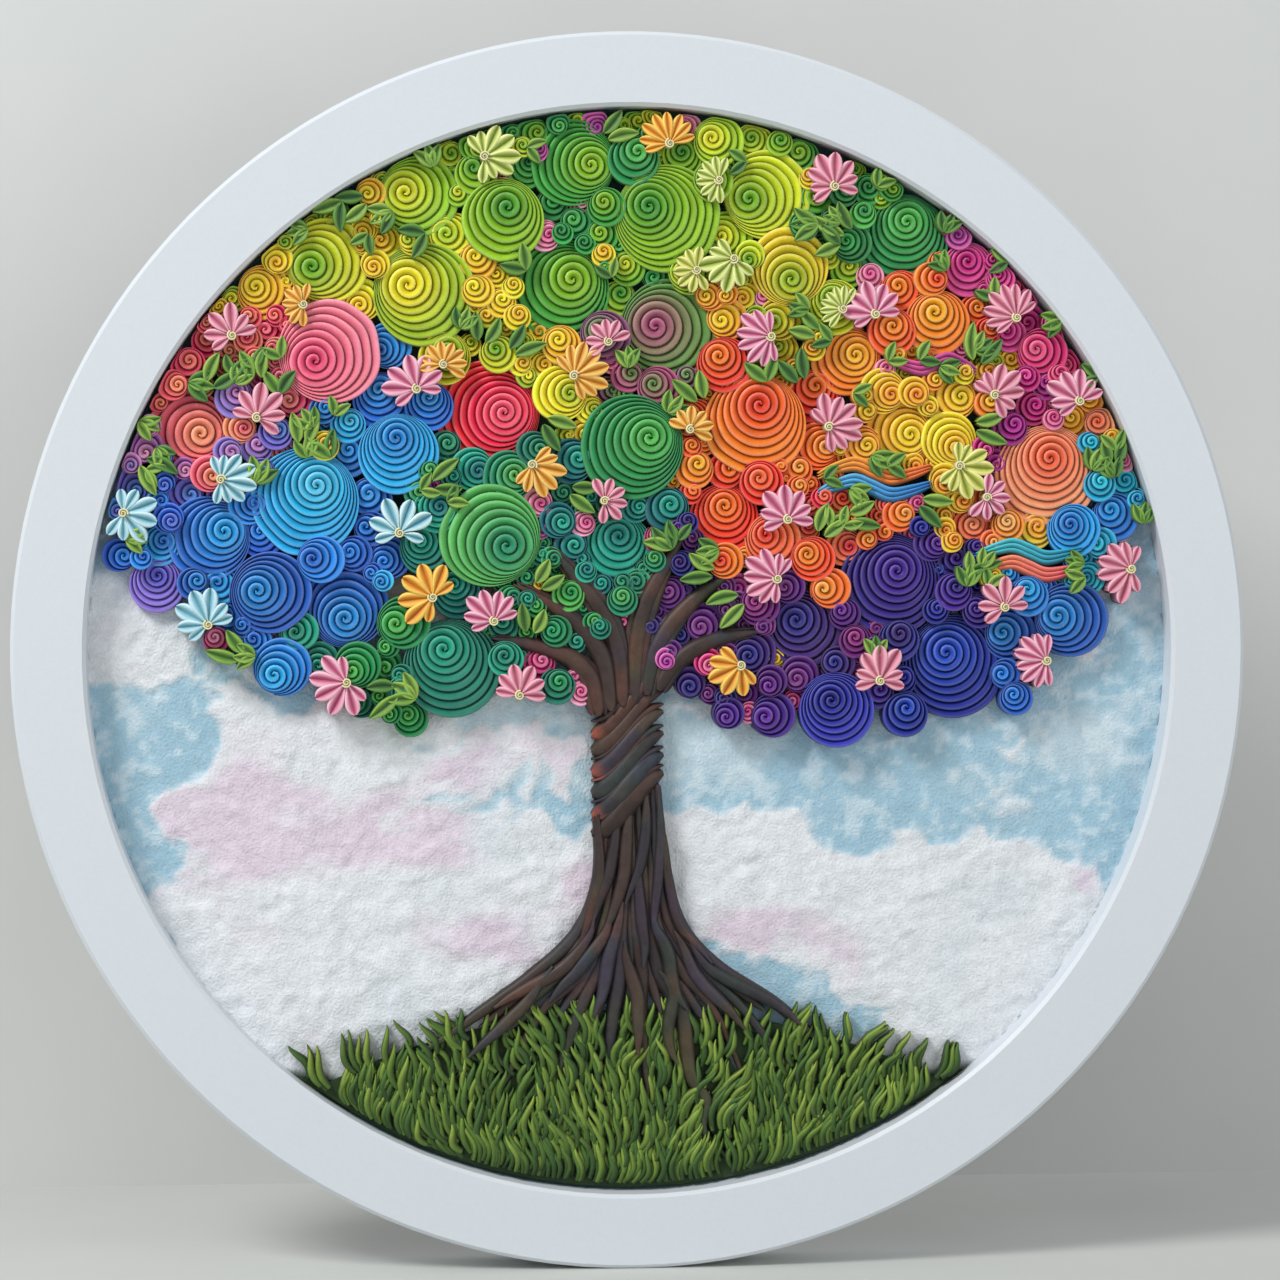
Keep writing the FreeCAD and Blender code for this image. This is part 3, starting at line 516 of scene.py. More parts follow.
def coil(paper, x, z, r, outer, inner, height):
    """Strip rolled from its pressed rim: a fan of crescents that narrow to one side, where the
    round head of the coil lies."""
    turn = heading(x, z) + rng.normal(0, 0.6)
    reach = outline_of(x, z, r, turn)
    hand = 1 if math.sin(0.31 * x + 0.17 * z) > 0 else -1
    mean = reach.mean()
    pitch = min(1.8 + 0.06 * mean, 0.75 + 0.22 * mean) * rng.uniform(0.92, 1.15)
    thin = rng.uniform(0.06, 0.24) * pitch
    angles = np.arange(RIM_ANGLES + 1) * TAU / RIM_ANGLES
    rim = np.append(reach, reach[0])
    near = np.interp((turn + np.linspace(-0.6, 0.6, 9)) % TAU, angles, rim).min()
    head = min(rng.uniform(0.38, 0.48) * mean + 0.6, 0.62 * near)
    fans = 2 * (mean - head) / (pitch + thin)
    shift = max(0, near - head - thin * fans)
    core = np.array([x + shift * math.cos(turn), z + shift * math.sin(turn)])
    fan_whole = TAU * fans
    whole = fan_whole + TAU * head / (0.84 * pitch)

    def place(theta):
        angle = turn + 0.5 + hand * theta
        u = np.stack([np.cos(angle), np.sin(angle)], 1)
        far = np.interp(angle % TAU, angles, rim)[:, None]
        share = np.clip(theta / fan_whole, 0, 1)[:, None]
        left = np.clip((whole - theta) / (whole - fan_whole), 0, 1)[:, None]
        return (np.array([x, z]) + far * u) * (1 - share) + (core + head * left * u) * share

    fine = np.linspace(0, whole, int(whole * 10))
    gone = np.append(0, np.cumsum(np.linalg.norm(np.diff(place(fine), axis=0), axis=1)))
    step = min(1.35, max(0.6, 0.13 * mean))
    along = np.linspace(0, gone[-1], int(gone[-1] / step))
    theta = np.interp(along, gone, fine)
    edge = place(theta)
    inner_edge = place(np.minimum(theta + TAU, whole))
    opening = np.clip(0.15 + along / 2.5, 0, 1)[:, None]
    inner_edge = edge + (inner_edge - edge) * opening
    share = np.clip(theta / fan_whole, 0, 1)
    inside_head = np.clip((theta - fan_whole) / (whole - fan_whole), 0, 1)
    top = height + LEVEL_LIFT * (share + 0.4 * np.sin(math.pi * inside_head))
    top += 0.08 * np.sin(0.8 * theta + x)
    blend = smooth(0.15, 0.95, 0.55 * share + 0.45 * inside_head)[:, None]
    tint = outer * (1 - blend) + inner * blend
    shade = 1 + 0.10 * np.sin(2.4 * np.floor(theta / TAU) + x) + 0.05 * np.sin(0.3 * along + z)
    shade *= 1 - 0.12 * (1 - share) * np.cos(theta * hand + 0.5)
    tint = np.clip(vivid(tint) * shade[:, None], 0, 1)
    # A paler copy of the colour for each strip's lit edge: a painted highlight
    painted_highlight_tint = 0.74 * tint + 0.26 * np.maximum(tint, 0.75 * tint.max(1, keepdims=True) ** 0.5)
    paper.band(edge, inner_edge, top, tint, "coil", 0.85, painted_highlight_tint)


# Flowers and leaves


def lens(paper, foot, tip, belly, full, pinch, top, tint, rim, bend=0.0):
    """Pinched loop from foot to tip, widest at full of its length, with a fold down its middle;
    a low pinch gives it a round tip."""
    length = np.linalg.norm(tip - foot)
    t = 0.5 - 0.5 * np.cos(math.pi * np.linspace(0, 1, max(9, int(length / 0.8))))
    power = math.log(0.5) / math.log(full)
    width = belly * np.sin(math.pi * np.clip(t ** power, 0.02, 0.985)) ** pinch
    axis = tip - foot
    across = np.array([-axis[1], axis[0]])
    path = foot + axis * t[:, None] + across * (bend * np.sin(math.pi * t))[:, None]
    height = top * (0.94 + 0.06 * np.sin(math.pi * t))
    paper.ridge(path, width, height, tint, "leaf", 0.42, rim)


def ray_to(hull, origin, angle):
    """Distance from a point inside a hull to its edge."""
    u = np.array([math.cos(angle), math.sin(angle)])
    best = 0.0
    for a, b in zip(hull, np.roll(hull, -1, 0)):
        e = b - a
        across = u[0] * e[1] - u[1] * e[0]
        if abs(across) < 1e-9:
            continue
        t = ((a[0] - origin[0]) * e[1] - (a[1] - origin[1]) * e[0]) / across
        s = ((a[0] - origin[0]) * u[1] - (a[1] - origin[1]) * u[0]) / across
        if t > 0 and -1e-6 <= s <= 1 + 1e-6:
            best = max(best, t)
    return best


def flower(petals, eyes, eye, facing, lengths, colours):
    """Fan of petals round a small rolled eye; lengths gives a petal's length at an angle."""
    outer, mid, heart = colours
    count = int(rng.integers(6, 9))
    fan = math.radians(rng.uniform(200, 265))
    for k in range(count):
        angle = facing + fan * ((k + 0.5) / count - 0.5) + rng.normal(0, 0.03)
        length = lengths(angle) * rng.uniform(0.95, 1.05)
        u = np.array([math.cos(angle), math.sin(angle)])
        foot, tip = eye + 1.0 * u, eye + length * u
        belly = min(length * 0.70 * math.tan(fan / count / 2), 0.21 * length)
        top = PETAL_TOP + 0.36 * (k % 2) - 0.3 * abs(math.sin(angle - facing))
        lens(petals, foot, tip, 1.08 * belly, 0.66, 0.5, top, 0.6 * mid + 0.4 * heart, outer)
    size = 1.5 + 0.03 * lengths(facing)
    whole = 2.2 * TAU
    theta = np.linspace(0, whole, 40)

    def ring(turned):
        radius = size * (1 - 0.95 * np.clip(turned / whole, 0, 1))
        u = np.stack([np.cos(turned + facing), np.sin(turned + facing)], 1)
        return eye + radius[:, None] * u

    tint = paint("efe3a0") * (1 - 0.3 * theta / whole)[:, None]
    # The pale cream on the eye's lit edges is a painted highlight
    eyes.band(ring(theta), ring(theta + TAU), PETAL_TOP + 0.8 + 0.2 * theta / whole, tint, "coil", 0.9,
              paint("fbf6d8"))


# Making the paper pieces


def value_range(tree, value, low, high, spread=(0.0, 1.0)):
    """Output that goes from low to high as the value goes over its spread."""
    node = tree.nodes.new("ShaderNodeMapRange")
    for word, number in zip(("From Min", "From Max", "To Min", "To Max"), (*spread, low, high)):
        node.inputs[word].default_value = number
    tree.links.new(value, node.inputs["Value"])
    return node.outputs[0]


def grain_of(tree, vector, scale, detail):
    """Output of a noise."""
    node = tree.nodes.new("ShaderNodeTexNoise")
    node.inputs["Scale"].default_value = scale
    node.inputs["Detail"].default_value = detail
    tree.links.new(vector, node.inputs["Vector"])
    return node.outputs["Fac"]


def add_bump(tree, height, strength, depth):
    """Bumps the material by a height."""
    node = tree.nodes.new("ShaderNodeBump")
    node.inputs["Strength"].default_value = strength
    node.inputs["Distance"].default_value = depth
    tree.links.new(height, node.inputs["Height"])
    tree.links.new(node.outputs[0], tree.nodes["Principled BSDF"].inputs["Normal"])


def paper_material(name, mottle, roughness, sheen, streak=0.12, fibre=2600, bump=(0.25, 0.00012)):
    """Dyed matt card: the strip's colour from its tint attribute, with the painted light and shade in
    it, mottled, with fibres that catch the light.
    """
    material = bpy.data.materials.new(name)
    material.use_nodes = True
    tree = material.node_tree
    link = tree.links.new
    shader = tree.nodes["Principled BSDF"]
    tint = tree.nodes.new("ShaderNodeAttribute")
    tint.attribute_name = "tint"
    place = tree.nodes.new("ShaderNodeTexCoord").outputs["Object"]
    clouds = grain_of(tree, place, 340, 4)
    fibres = grain_of(tree, place, fibre, 3)
    both = tree.nodes.new("ShaderNodeMath")
    both.operation = "MULTIPLY"
    link(value_range(tree, clouds, 1 - mottle, 1 + mottle, (0.3, 0.7)), both.inputs[0])
    link(value_range(tree, fibres, 1 - streak, 1 + streak, (0.3, 0.7)), both.inputs[1])
    scaled = tree.nodes.new("ShaderNodeVectorMath")
    scaled.operation = "SCALE"
    link(tint.outputs["Color"], scaled.inputs[0])
    link(both.outputs[0], scaled.inputs["Scale"])
    link(scaled.outputs[0], shader.inputs["Base Color"])
    link(value_range(tree, clouds, roughness - 0.08, roughness + 0.1), shader.inputs["Roughness"])
    add_bump(tree, fibres, *bump)
    shader.inputs["Specular IOR Level"].default_value = 0.35
    shader.inputs["Sheen Weight"].default_value = sheen
    return material


coil_paper = paper_material("coil_paper", 0.07, 0.5, 0.05)
petal_paper = paper_material("petal_paper", 0.05, 0.55, 0.05, 0.08)
leaf_paper = paper_material("leaf_paper", 0.10, 0.5, 0.05)
bark_paper = paper_material("bark_paper", 0.22, 0.48, 0.04, 0.22)
grass_paper = paper_material("grass_paper", 0.12, 0.55, 0.05)

zone_papers = {}
for (x, z, r, node), level in zip(coil_discs, levels_of(coil_discs)):
    word = node.split("_")[1]
    bud = r < BUD_R and rng.random() < 0.14
    outer, inner = paints(pick(BUD_PAINTS if bud else ZONE_PAINTS[word]))
    if rng.random() < 0.3:
        outer, inner = inner, outer
    coil(zone_papers.setdefault(node, Paper()), x, z, r, outer, inner, level)
for node, paper in zone_papers.items():
    paper.piece("paper_" + node, coil_paper, "paper_" + node.split("_")[1], node)


def flower_paints(x, z):
    """Colours of a flower there: lime on top, pale blue low on the left, pink on the right."""
    if z > 112:
        words = ("lime", "lime", "lime", "pink", "orange")
    elif x < -30 and z < 62:
        words = ("sky", "sky", "pink", "orange")
    elif x < 40:
        words = ("orange", "orange", "pink", "lime", "pink")
    else:
        words = ("pink", "pink", "pink", "lime")
    return paints(pick(FLOWER_PAINTS[pick(words)]))


def petal_length(fan, eye, angle):
    """Length that reaches the fan's edge from its eye, within limits."""
    short, long = PETAL_LENGTHS
    return min(long, max(short, 0.97 * ray_to(fan, eye, angle)))


petals, eyes = Paper(), Paper()
for eye, fan in flower_fans:
    out = middle_of(fan) - eye
    facing = math.atan2(out[1], out[0])
    flower(petals, eyes, eye, facing, lambda angle: petal_length(fan, eye, angle), flower_paints(*eye))
for x, z, r in small_flowers:
    facing = heading(x, z) + rng.uniform(-0.6, 0.6)
    eye = np.array([x - 0.4 * r * math.cos(facing), z - 0.4 * r * math.sin(facing)])
    size = min(1.5 * r, 7.5)
    flower(petals, eyes, eye, facing, lambda angle: size, flower_paints(x, z))
petals.piece("quilled_petals", petal_paper, "paper_pink", "flower_petals")
eyes.piece("rolled_flower_eyes", petal_paper, "paper_cream", "flower_eyes")

leaves = Paper()
for foot, tip, belly in leaf_kites:
    rim, heart = paints(pick(LEAF_PAINTS))
    length = np.linalg.norm(tip - foot)
    top = LEAF_TOP + rng.uniform(-0.2, 0.4)
    lens(leaves, foot, tip, min(max(belly, 0.27 * length), 2.3), 0.45, 0.72, top,
         0.75 * heart + 0.25 * rim, rim, rng.uniform(-0.08, 0.08))
leaves.piece("quilled_leaves", leaf_paper, "paper_leaf", "leaves")


# Trunk, branches and waves


def bark_tint(path, seed):
    """Dark bark with patches of slate, moss, plum and rust along a strand."""
    base = paint(BARK_PAINTS[seed % len(BARK_PAINTS)])
    tint = np.tile(base, (len(path), 1))
    x, z = path.T
    for k, patch in enumerate(BARK_PATCHES):
        share = smooth(0.32, 0.8, noise(x + 9.7 * seed, z, 22.0, 31 + k, 2))[:, None]
        tint = tint * (1 - 0.55 * share) + paint(patch) * 0.55 * share
    moss = smooth(-100, -150, z)[:, None] * (0.25 + 0.35 * (seed % 3 == 0))
    return (tint * (1 - moss) + paint("4c5c30") * moss) * BARK_SHADE


def taper(n, start, end):
    """Shares of the width at n points, closing to round ends over the first and last of them."""
    k = np.arange(n)
    head = np.sqrt(np.clip((k + 0.3) / max(start, 1), 0, 1))
    tail = np.sqrt(np.clip((n - 1 - k + 0.3) / max(end, 1), 0, 1))
    return head * tail


root_names = sorted((n for n in nodes if n.startswith("root_strand")), key=lambda n: int(n[12:]))
root_ribbons = [ribbon_of(caps(name)[0], (0, 1)) for name in root_names]
root_rows = np.array([line[:6] for line, half in root_ribbons])     # strand, row, (x, z)


def trunk_at(across, down):
    """Point of the trunk: across from 0 to 1 and down from 0 at the waist to 1 at the root tips."""
    across = np.clip(across, 0, 1) * (len(root_rows) - 1)
    down = np.clip(down, 0, 1) * (root_rows.shape[1] - 1)
    i = np.minimum(across.astype(int), len(root_rows) - 2)
    k = np.minimum(down.astype(int), root_rows.shape[1] - 2)
    right, below = (across - i)[:, None], (down - k)[:, None]
    upper = root_rows[i, k] * (1 - right) + root_rows[i + 1, k] * right
    lower = root_rows[i, k + 1] * (1 - right) + root_rows[i + 1, k + 1] * right
    return upper * (1 - below) + lower * below


for i, (name, (line, half)) in enumerate(zip(root_names, root_ribbons)):
    path, width = resample(line, 1.0, half)
    n = len(path)
    share = np.linspace(0, 1, n)
    sway = 0.5 * np.sin(2.2 * math.pi * share + 1.9 * i)
    along = np.gradient(path, axis=0)
    along /= np.linalg.norm(along, axis=1, keepdims=True)
    path = path + np.stack([-along[:, 1], along[:, 0]], 1) * sway[:, None]
    top = ROOT_TOP + 0.5 * np.sin(3 * math.pi * share + 2.3 * i) - 2.2 * smooth(0.7, 1, share)
    swell = 1 + 0.35 * np.sin(math.pi * share) + 0.25 * np.sin(5 * share + i)
    strand = Paper()
    strand.ridge(path, (width * swell + 0.2) * taper(n, 1, 4), top, bark_tint(path, i), relief=0.5)
    strand.piece("rolled_" + name, bark_paper, "paper_bark", name)

between = Paper()
grass_bars = []
for i, ((a, wa), (b, wb)) in enumerate(zip(root_ribbons, root_ribbons[1:])):
    rows = min(len(a), len(b)) - 1
    line = (a[:rows] + b[:rows]) / 2
    room = np.linalg.norm(a[:rows] - b[:rows], axis=1) / 2
    half = room - (wa[:rows] + wb[:rows]) / 2 + 0.3
    start = max(0, int(np.argmax(half > 0.5)) - 1)
    last = line[-1] + (line[-1] - line[-2]) * (0.35 + 0.25 * math.sin(2.2 * i))
    line = np.vstack([line[start:], last])
    half = np.append(half[start:], 0.5)
    path, width = resample(line, 1.0, half)
    n = len(path)
    width = np.clip(width, 0.35, 3.0) * taper(n, 6, 6)
    width *= 1 - 0.55 * smooth(0.6, 1, np.linspace(0, 1, n))
    top = ROOT_TOP - 0.9 + 0.5 * np.sin(np.linspace(0, 2 * math.pi, n) + 1.3 * i)
    between.ridge(path, width, top, bark_tint(path, i + 17), relief=0.5)
    grass_bars.append(path)

# Broad strands that lie over the others: place across at their two ends, top, bottom, half width
OVERLAYS = (
    (0.02, 0.12, 0.00, 0.52, 1.9), (0.30, 0.10, 0.02, 0.40, 2.1), (0.52, 0.24, -0.02, 0.46, 2.3),
    (0.80, 0.46, 0.00, 0.34, 2.1), (0.96, 0.72, 0.02, 0.50, 1.9), (1.00, 0.96, 0.10, 0.62, 1.7),
    (0.62, 0.58, 0.18, 0.62, 2.2), (0.14, 0.03, 0.36, 0.80, 2.4), (0.26, 0.20, 0.34, 0.78, 2.4),
    (0.40, 0.36, 0.30, 0.86, 2.5), (0.48, 0.55, 0.46, 0.94, 2.5), (0.74, 0.70, 0.36, 0.84, 2.4),
    (0.86, 0.83, 0.42, 0.90, 2.3), (0.95, 0.99, 0.48, 0.90, 2.3), (0.06, 0.12, 0.56, 0.97, 2.1),
    (0.66, 0.64, 0.60, 0.99, 2.2),
)
for i, (first, last, high, low, broad) in enumerate(OVERLAYS):
    t = np.linspace(0, 1, 60)
    across = first + (last - first) * smooth(0, 1, t) + 0.022 * np.sin(2 * math.pi * t + 1.7 * i)
    path, = resample(trunk_at(across, np.maximum(0, high) + (low - max(0, high)) * t)[::6], 1.0)
    if high < 0:
        path = np.vstack([path[:1] + (path[0] - path[3]), path])
    n = len(path)
    t = np.linspace(0, 1, n)
    width = broad * np.sin(math.pi * np.clip(t, 0.03, 0.97)) ** 0.6
    top = ROOT_TOP + 1.1 + 0.5 * np.sin(math.pi * t) + 0.2 * (i % 3)
    between.ridge(path, width, top, bark_tint(path, i + 90), relief=0.5)
between.piece("broad_trunk_strands", bark_paper, "paper_bark")


def twist_band(paper, line, half, k, drop, fat, rise, top):
    """Band that winds over the trunk from low on the left to high on the right."""
    path, width = resample(line, 0.7, half)
    n = len(path)
    t = np.linspace(0, 1, n)
    path = path + np.stack([0.5 * (2 * t - 1), drop + rise * (smooth(0.0, 1.0, t) - 0.5)], 1)
    round_over = np.sin(math.pi * np.clip(t, 0.03, 0.97)) ** 0.45
    thick = width * fat * taper(n, 5, 5) * (0.85 + 0.25 * np.sin(math.pi * t + 0.5 * k))
    tint = bark_tint(path, 3 * k + 40)
    rust = (1 - smooth(0.0, 0.2, t))[:, None] * (k % 2) * 0.7
    tint = tint * (1 - rust) + paint("a85642") * rust
    paper.ridge(path, thick, 4.0 + (top - 4.0) * round_over, tint, relief=0.5)


twist = Paper()
bands = [ribbon_of(outline, (-1, 0)) for outline in caps("trunk_twist")]
bands.sort(key=lambda band: band[0][:, 1].mean())
step = bands[1][0][:, 1].mean() - bands[0][0][:, 1].mean()
for k, (line, half) in enumerate([bands[0]] + bands + [bands[-1]]):
    lap = {0: -0.85 * step, len(bands) + 1: 0.75 * step}.get(k, 0.0)
    twist_band(twist, line, half, k, lap, 1.02, 10.0, TWIST_TOP + 0.25 * (k % 2))
    twist_band(twist, line, half, k + 7, lap + 0.5 * step, 0.3, 8.0, TWIST_TOP - 0.3)
twist.piece("twisted_trunk_bands", bark_paper, "paper_bark", "trunk_twist")

boughs = Paper()
for i, (line, half) in enumerate(branch_lines):
    path, width = resample(line, 0.8, half)
    n = len(path)
    t = np.linspace(0, 1, n)
    along = np.gradient(path, axis=0)
    along /= np.linalg.norm(along, axis=1, keepdims=True)
    across = np.stack([-along[:, 1], along[:, 0]], 1)
    for j, (side, share) in enumerate(((0.0, 1.1), (0.95, 0.62), (-0.95, 0.58))):
        wrap = side * (width + 0.6) * np.cos(0.8 * math.pi * t + 0.7 * i)
        thick = share * (width + 0.45) * taper(n, 3, 14)
        top = BRANCH_TOP - 0.7 * j - 1.2 * t + 0.3 * np.sin(2 * math.pi * t + i)
        shifted = path + across * wrap[:, None]
        boughs.ridge(shifted, thick, top, bark_tint(shifted, 5 * i + j + 60), relief=0.5)
boughs.piece("rolled_branches", bark_paper, "paper_bark", "branches")

waves = Paper()
for i, (line, half) in enumerate(wave_lines):
    path, width = resample(line, 0.8, half)
    n = len(path)
    outer, inner = paints(WAVE_PAINTS[i])
    t = np.linspace(0, 1, n)[:, None]
    for side in (-0.72, 0.0, 0.72):
        shifted = path + np.stack([np.zeros(n), side * (width + 0.5)], 1)
        tint = (outer * (1 - t) + inner * t) * (1 + 0.15 * side)
        top = WAVE_TOP + 0.4 * side
        # tint * 1.3 on the strips' lit edges is a painted highlight
        waves.ridge(shifted, 0.42 * (width + 0.4) * taper(n, 3, 3), top, tint, "coil", 0.8, tint * 1.3)
waves.piece("wavy_paper_strips", coil_paper, "paper_aqua", "wavy_strips")


# Grass


def inside(point, outline):
    """True if a point lies within a closed outline."""
    x, z = point
    x0, z0 = outline.T
    x1, z1 = np.roll(outline, -1, 0).T
    crosses = (z0 > z) != (z1 > z)
    rise = np.where(z1 == z0, 1e-9, z1 - z0)
    return bool(np.sum(crosses & (x < x0 + (x1 - x0) * (z - z0) / rise)) % 2)


lawn = max(caps("grass_hill"), key=len)
bars = np.vstack(grass_bars)
rows = {"upper": Paper(), "lower": Paper()}
for z in np.arange(*GRASS_ROWS):
    for x in np.arange(*GRASS_COLUMNS):
        px, pz = x + rng.uniform(-0.8, 0.8), z + rng.uniform(-2.0, 2.0)
        off = math.hypot(px, pz)
        if GRASS_R < off < GRASS_R + GRASS_PULL:
            px, pz = px * GRASS_R / off, pz * GRASS_R / off
        corner = abs(px) > 98 and pz < -133
        if not corner and not inside((px, pz), lawn):
            continue
        if np.hypot(bars[:, 0] - px, bars[:, 1] - pz).min() < 1.2:
            continue
        length = rng.uniform(9.5, 15.5)
        place = np.array(px), np.array(pz)
        lean = 0.0045 * px + 0.42 * float(noise(*place, 15.0, 77, 2)) + rng.normal(0, 0.07)
        sway = 1.0 + 0.6 * rng.random()
        if noise(*place, 22.0, 78, 1) <= 0:
            sway = -sway
        t = np.linspace(0, 1, 9)
        bend = sway * np.sin(math.pi * t * 1.5)
        path = np.stack([
            px + length * t * math.sin(lean) + bend * math.cos(lean),
            pz + length * t * math.cos(lean) - bend * math.sin(lean),
        ], 1)
        if np.hypot(*path.T).max() > PAPER_R - 0.9:
            continue
        crest = CREST_Z - CREST_FALL * px * px
        if not inside(path[5], lawn) and path[6, 1] < crest or path[-1, 1] > crest + 6.5:
            continue
        dark, light = paints(pick(GRASS_PAINTS))
        # Darker at the foot and lighter at the tip: painted shade among the blades and painted light on
        # their tips
        painted_light_share = (0.15 + 0.85 * t ** 1.3)[:, None]
        tint = (dark * (1 - painted_light_share) + light * painted_light_share) * GRASS_SHADE
        top = rng.uniform(4.0, 6.2) + 0.9 * np.sin(math.pi * t)
        width = rng.uniform(0.95, 1.3) * np.sin(math.pi * (0.2 + 0.78 * t)) ** 0.8
        group = "upper" if pz > -146 else "lower"
        # tint * 1.5 on the blade's lit edge is a painted highlight
        rows[group].ridge(path, np.maximum(width, 0.06), top, tint, "blade", 0.6, tint * 1.5, 2.0)
for group, paper in rows.items():
    paper.piece("curved_grass_" + group, grass_paper,
                "paper_grass" if group == "upper" else "paper_olive", "grass_blades_" + group)


# Painted plaster sky


def build_sky():
    """Plaster front of the board: cloud banks, trowel marks and torn edges, painted by height."""
    axis = np.arange(-178, 178 + SKY_STEP, SKY_STEP)
    x, z = np.meshgrid(axis, axis)
    radius = np.hypot(x, z)
    kept = (radius < OPEN_R + 1.45 * SKY_STEP) & (z < SKY_TOP) & (z > SKY_LOW)
    pull = np.minimum(1, (OPEN_R - 0.03) / np.maximum(radius, 1))
    wx = x + 9 * noise(x, z, 34, 3, 3) + 2.2 * noise(x, z, 7, 5, 2)
    wz = z + 7 * noise(x, z, 34, 4, 3) + 2.2 * noise(x, z, 7, 6, 2)
    billow = noise(wx, wz * 1.5, 58, 11, 5, 0.55)
    low_banks = np.exp(-((z + 95) / 34) ** 2)
    side_banks = np.exp(-((np.abs(x) - 120) / 40) ** 2)
    billow += 0.5 * low_banks + 0.35 * side_banks - 0.17
    cloud = smooth(-0.04, 0.10, billow)
    rough = noise(x, z, 4.6, 21, 3, 0.7)
    trowel = noise(x + 0.6 * z, z * 2.2 - 0.5 * x, 9.0, 23, 3, 0.6)
    torn = 1 - smooth(0, 0.13, np.abs(noise(wx, wz, 15, 22, 4, 0.6)))
    layer = 0.5 * smooth(0.0, 0.05, billow) + 0.4 * smooth(0.33, 0.37, billow)
    layer += 0.3 * smooth(0.62, 0.66, billow)
    height = 0.5 + layer + (0.42 * rough + 0.34 * trowel) * (0.6 + 0.4 * cloud)
    height += 0.45 * torn * (0.35 + 0.65 * cloud)
    height = np.clip(height, 0.06, 2.8)
    blue = paint("a4c8da")
    deep = smooth(0.0, 0.7, noise(x, z, 30, 41, 3))[..., None]
    tint = blue * (1 - 0.7 * deep) + paint("cfe1ea") * 0.7 * deep
    tint = tint * (1 - cloud[..., None]) + paint("e6eaee") * cloud[..., None]
    grey = smooth(0.1, 0.9, noise(x, z, 40, 61, 3))[..., None] * cloud[..., None]
    tint = tint * (1 - 0.35 * grey) + paint("c3d3de") * 0.35 * grey
    blush = smooth(0.15, 0.6, noise(x, z * 1.4, 44, 52, 3)) * smooth(0.0, 0.3, billow)
    tint = tint * (1 - 0.5 * blush[..., None]) + paint("dfbcd6") * 0.5 * blush[..., None]
    fleck = smooth(0.1, 0.5, rough + 0.6 * trowel)[..., None] * (1 - cloud[..., None])
    tint = tint * (1 - 0.45 * fleck) + paint("e0ebf0") * 0.45 * fleck
    tint = tint * (1 + 0.07 * rough[..., None])
    # Dark green on the plaster under the canopy's lower edge: partly the board's own dark paint, partly
    # painted shade of the canopy
    canopy_dark_paint_and_shade = smooth(10, 34, z - 34 * smooth(136, 160, np.abs(x)))[..., None]
    tint = tint * (1 - canopy_dark_paint_and_shade) + paint("1f3a36") * canopy_dark_paint_and_shade
    verge = (smooth(167, 171, radius) * smooth(-134, -138, z))[..., None]
    tint = tint * (1 - verge) + paint("22391a") * verge
    index = -np.ones(x.shape, int)
    index[kept] = np.arange(kept.sum())
    points = np.stack([(x * pull)[kept], SKY_Y - height[kept], (z * pull)[kept]], 1)
    a, b = index[:-1, :-1], index[:-1, 1:]
    c, d = index[1:, 1:], index[1:, :-1]
    whole = (a >= 0) & (b >= 0) & (c >= 0) & (d >= 0)
    quads = np.stack([a[whole], b[whole], c[whole], d[whole]], 1)
    sky = Paper()
    sky.add(points, quads, tint[kept])
    return sky


plaster = paper_material("painted_plaster", 0.05, 0.72, 0.0, 0.05, 1100, (0.85, 0.0006))
build_sky().piece("painted_plaster_sky", plaster, "plaster", "cloud_plaster")


# Materials of the solids that stay


def surface(name, colour, second, scale, stretch, roughness, bump_mm, metallic=0.0):
    """Two tones mixed by a stretched noise, with a matching bump."""
    material = bpy.data.materials.new(name)
    material.use_nodes = True
    tree = material.node_tree
    link = tree.links.new
    shader = tree.nodes["Principled BSDF"]
    mapping = tree.nodes.new("ShaderNodeMapping")
    mapping.inputs["Scale"].default_value = stretch
    link(tree.nodes.new("ShaderNodeTexCoord").outputs["Object"], mapping.inputs["Vector"])
    grain = grain_of(tree, mapping.outputs[0], scale, 6)
    ramp = tree.nodes.new("ShaderNodeValToRGB")
    ramp.color_ramp.elements[0].position = 0.25
    ramp.color_ramp.elements[1].position = 0.75
    ramp.color_ramp.elements[0].color = (*paint(colour), 1)
    ramp.color_ramp.elements[1].color = (*paint(second), 1)
    link(grain, ramp.inputs["Fac"])
    link(ramp.outputs["Color"], shader.inputs["Base Color"])
    link(value_range(tree, grain, roughness - 0.06, roughness + 0.08), shader.inputs["Roughness"])
    add_bump(tree, grain, 0.5, bump_mm * MM)
    shader.inputs["Metallic"].default_value = metallic
    return material


def dress(name, material):
    """Gives a solid that stays a material of its own."""
    mesh = nodes[name].data
    mesh.materials.clear()
    mesh.materials.append(material)


dress("frame_moulding", surface("satin_white_paint", "dce2e8", "d9dfe5", 900, (1, 1, 1), 0.4, 0.02))
# The board's dark green shows in the gaps between the coils: partly its own paint, partly painted shade
# under the canopy
dress("sky_board", surface("painted_board", "37604a", "2c5060", 60, (1, 1, 1), 0.75, 0.2))
dress("back_board", surface("brown_hardboard", "6b4a30", "4f3522", 900, (1, 1, 1), 0.7, 0.12))
dress("steel_points", surface("brushed_steel", "a9acb0", "8c9095", 900, (1, 1, 6), 0.32, 0.03, 1.0))
dress("grass_hill", surface("dark_green_card", "1c3312", "2a4618", 800, (1, 1, 1), 0.7, 0.1))


# Stage, light and camera

WALL_Y = 0.15               # metres behind the frame's back
FLOOR_Z = -0.2              # the frame's lowest point, in metres
WALL_TOP = 2.5
REACH = 3.0                 # how far floor and wall go to each side


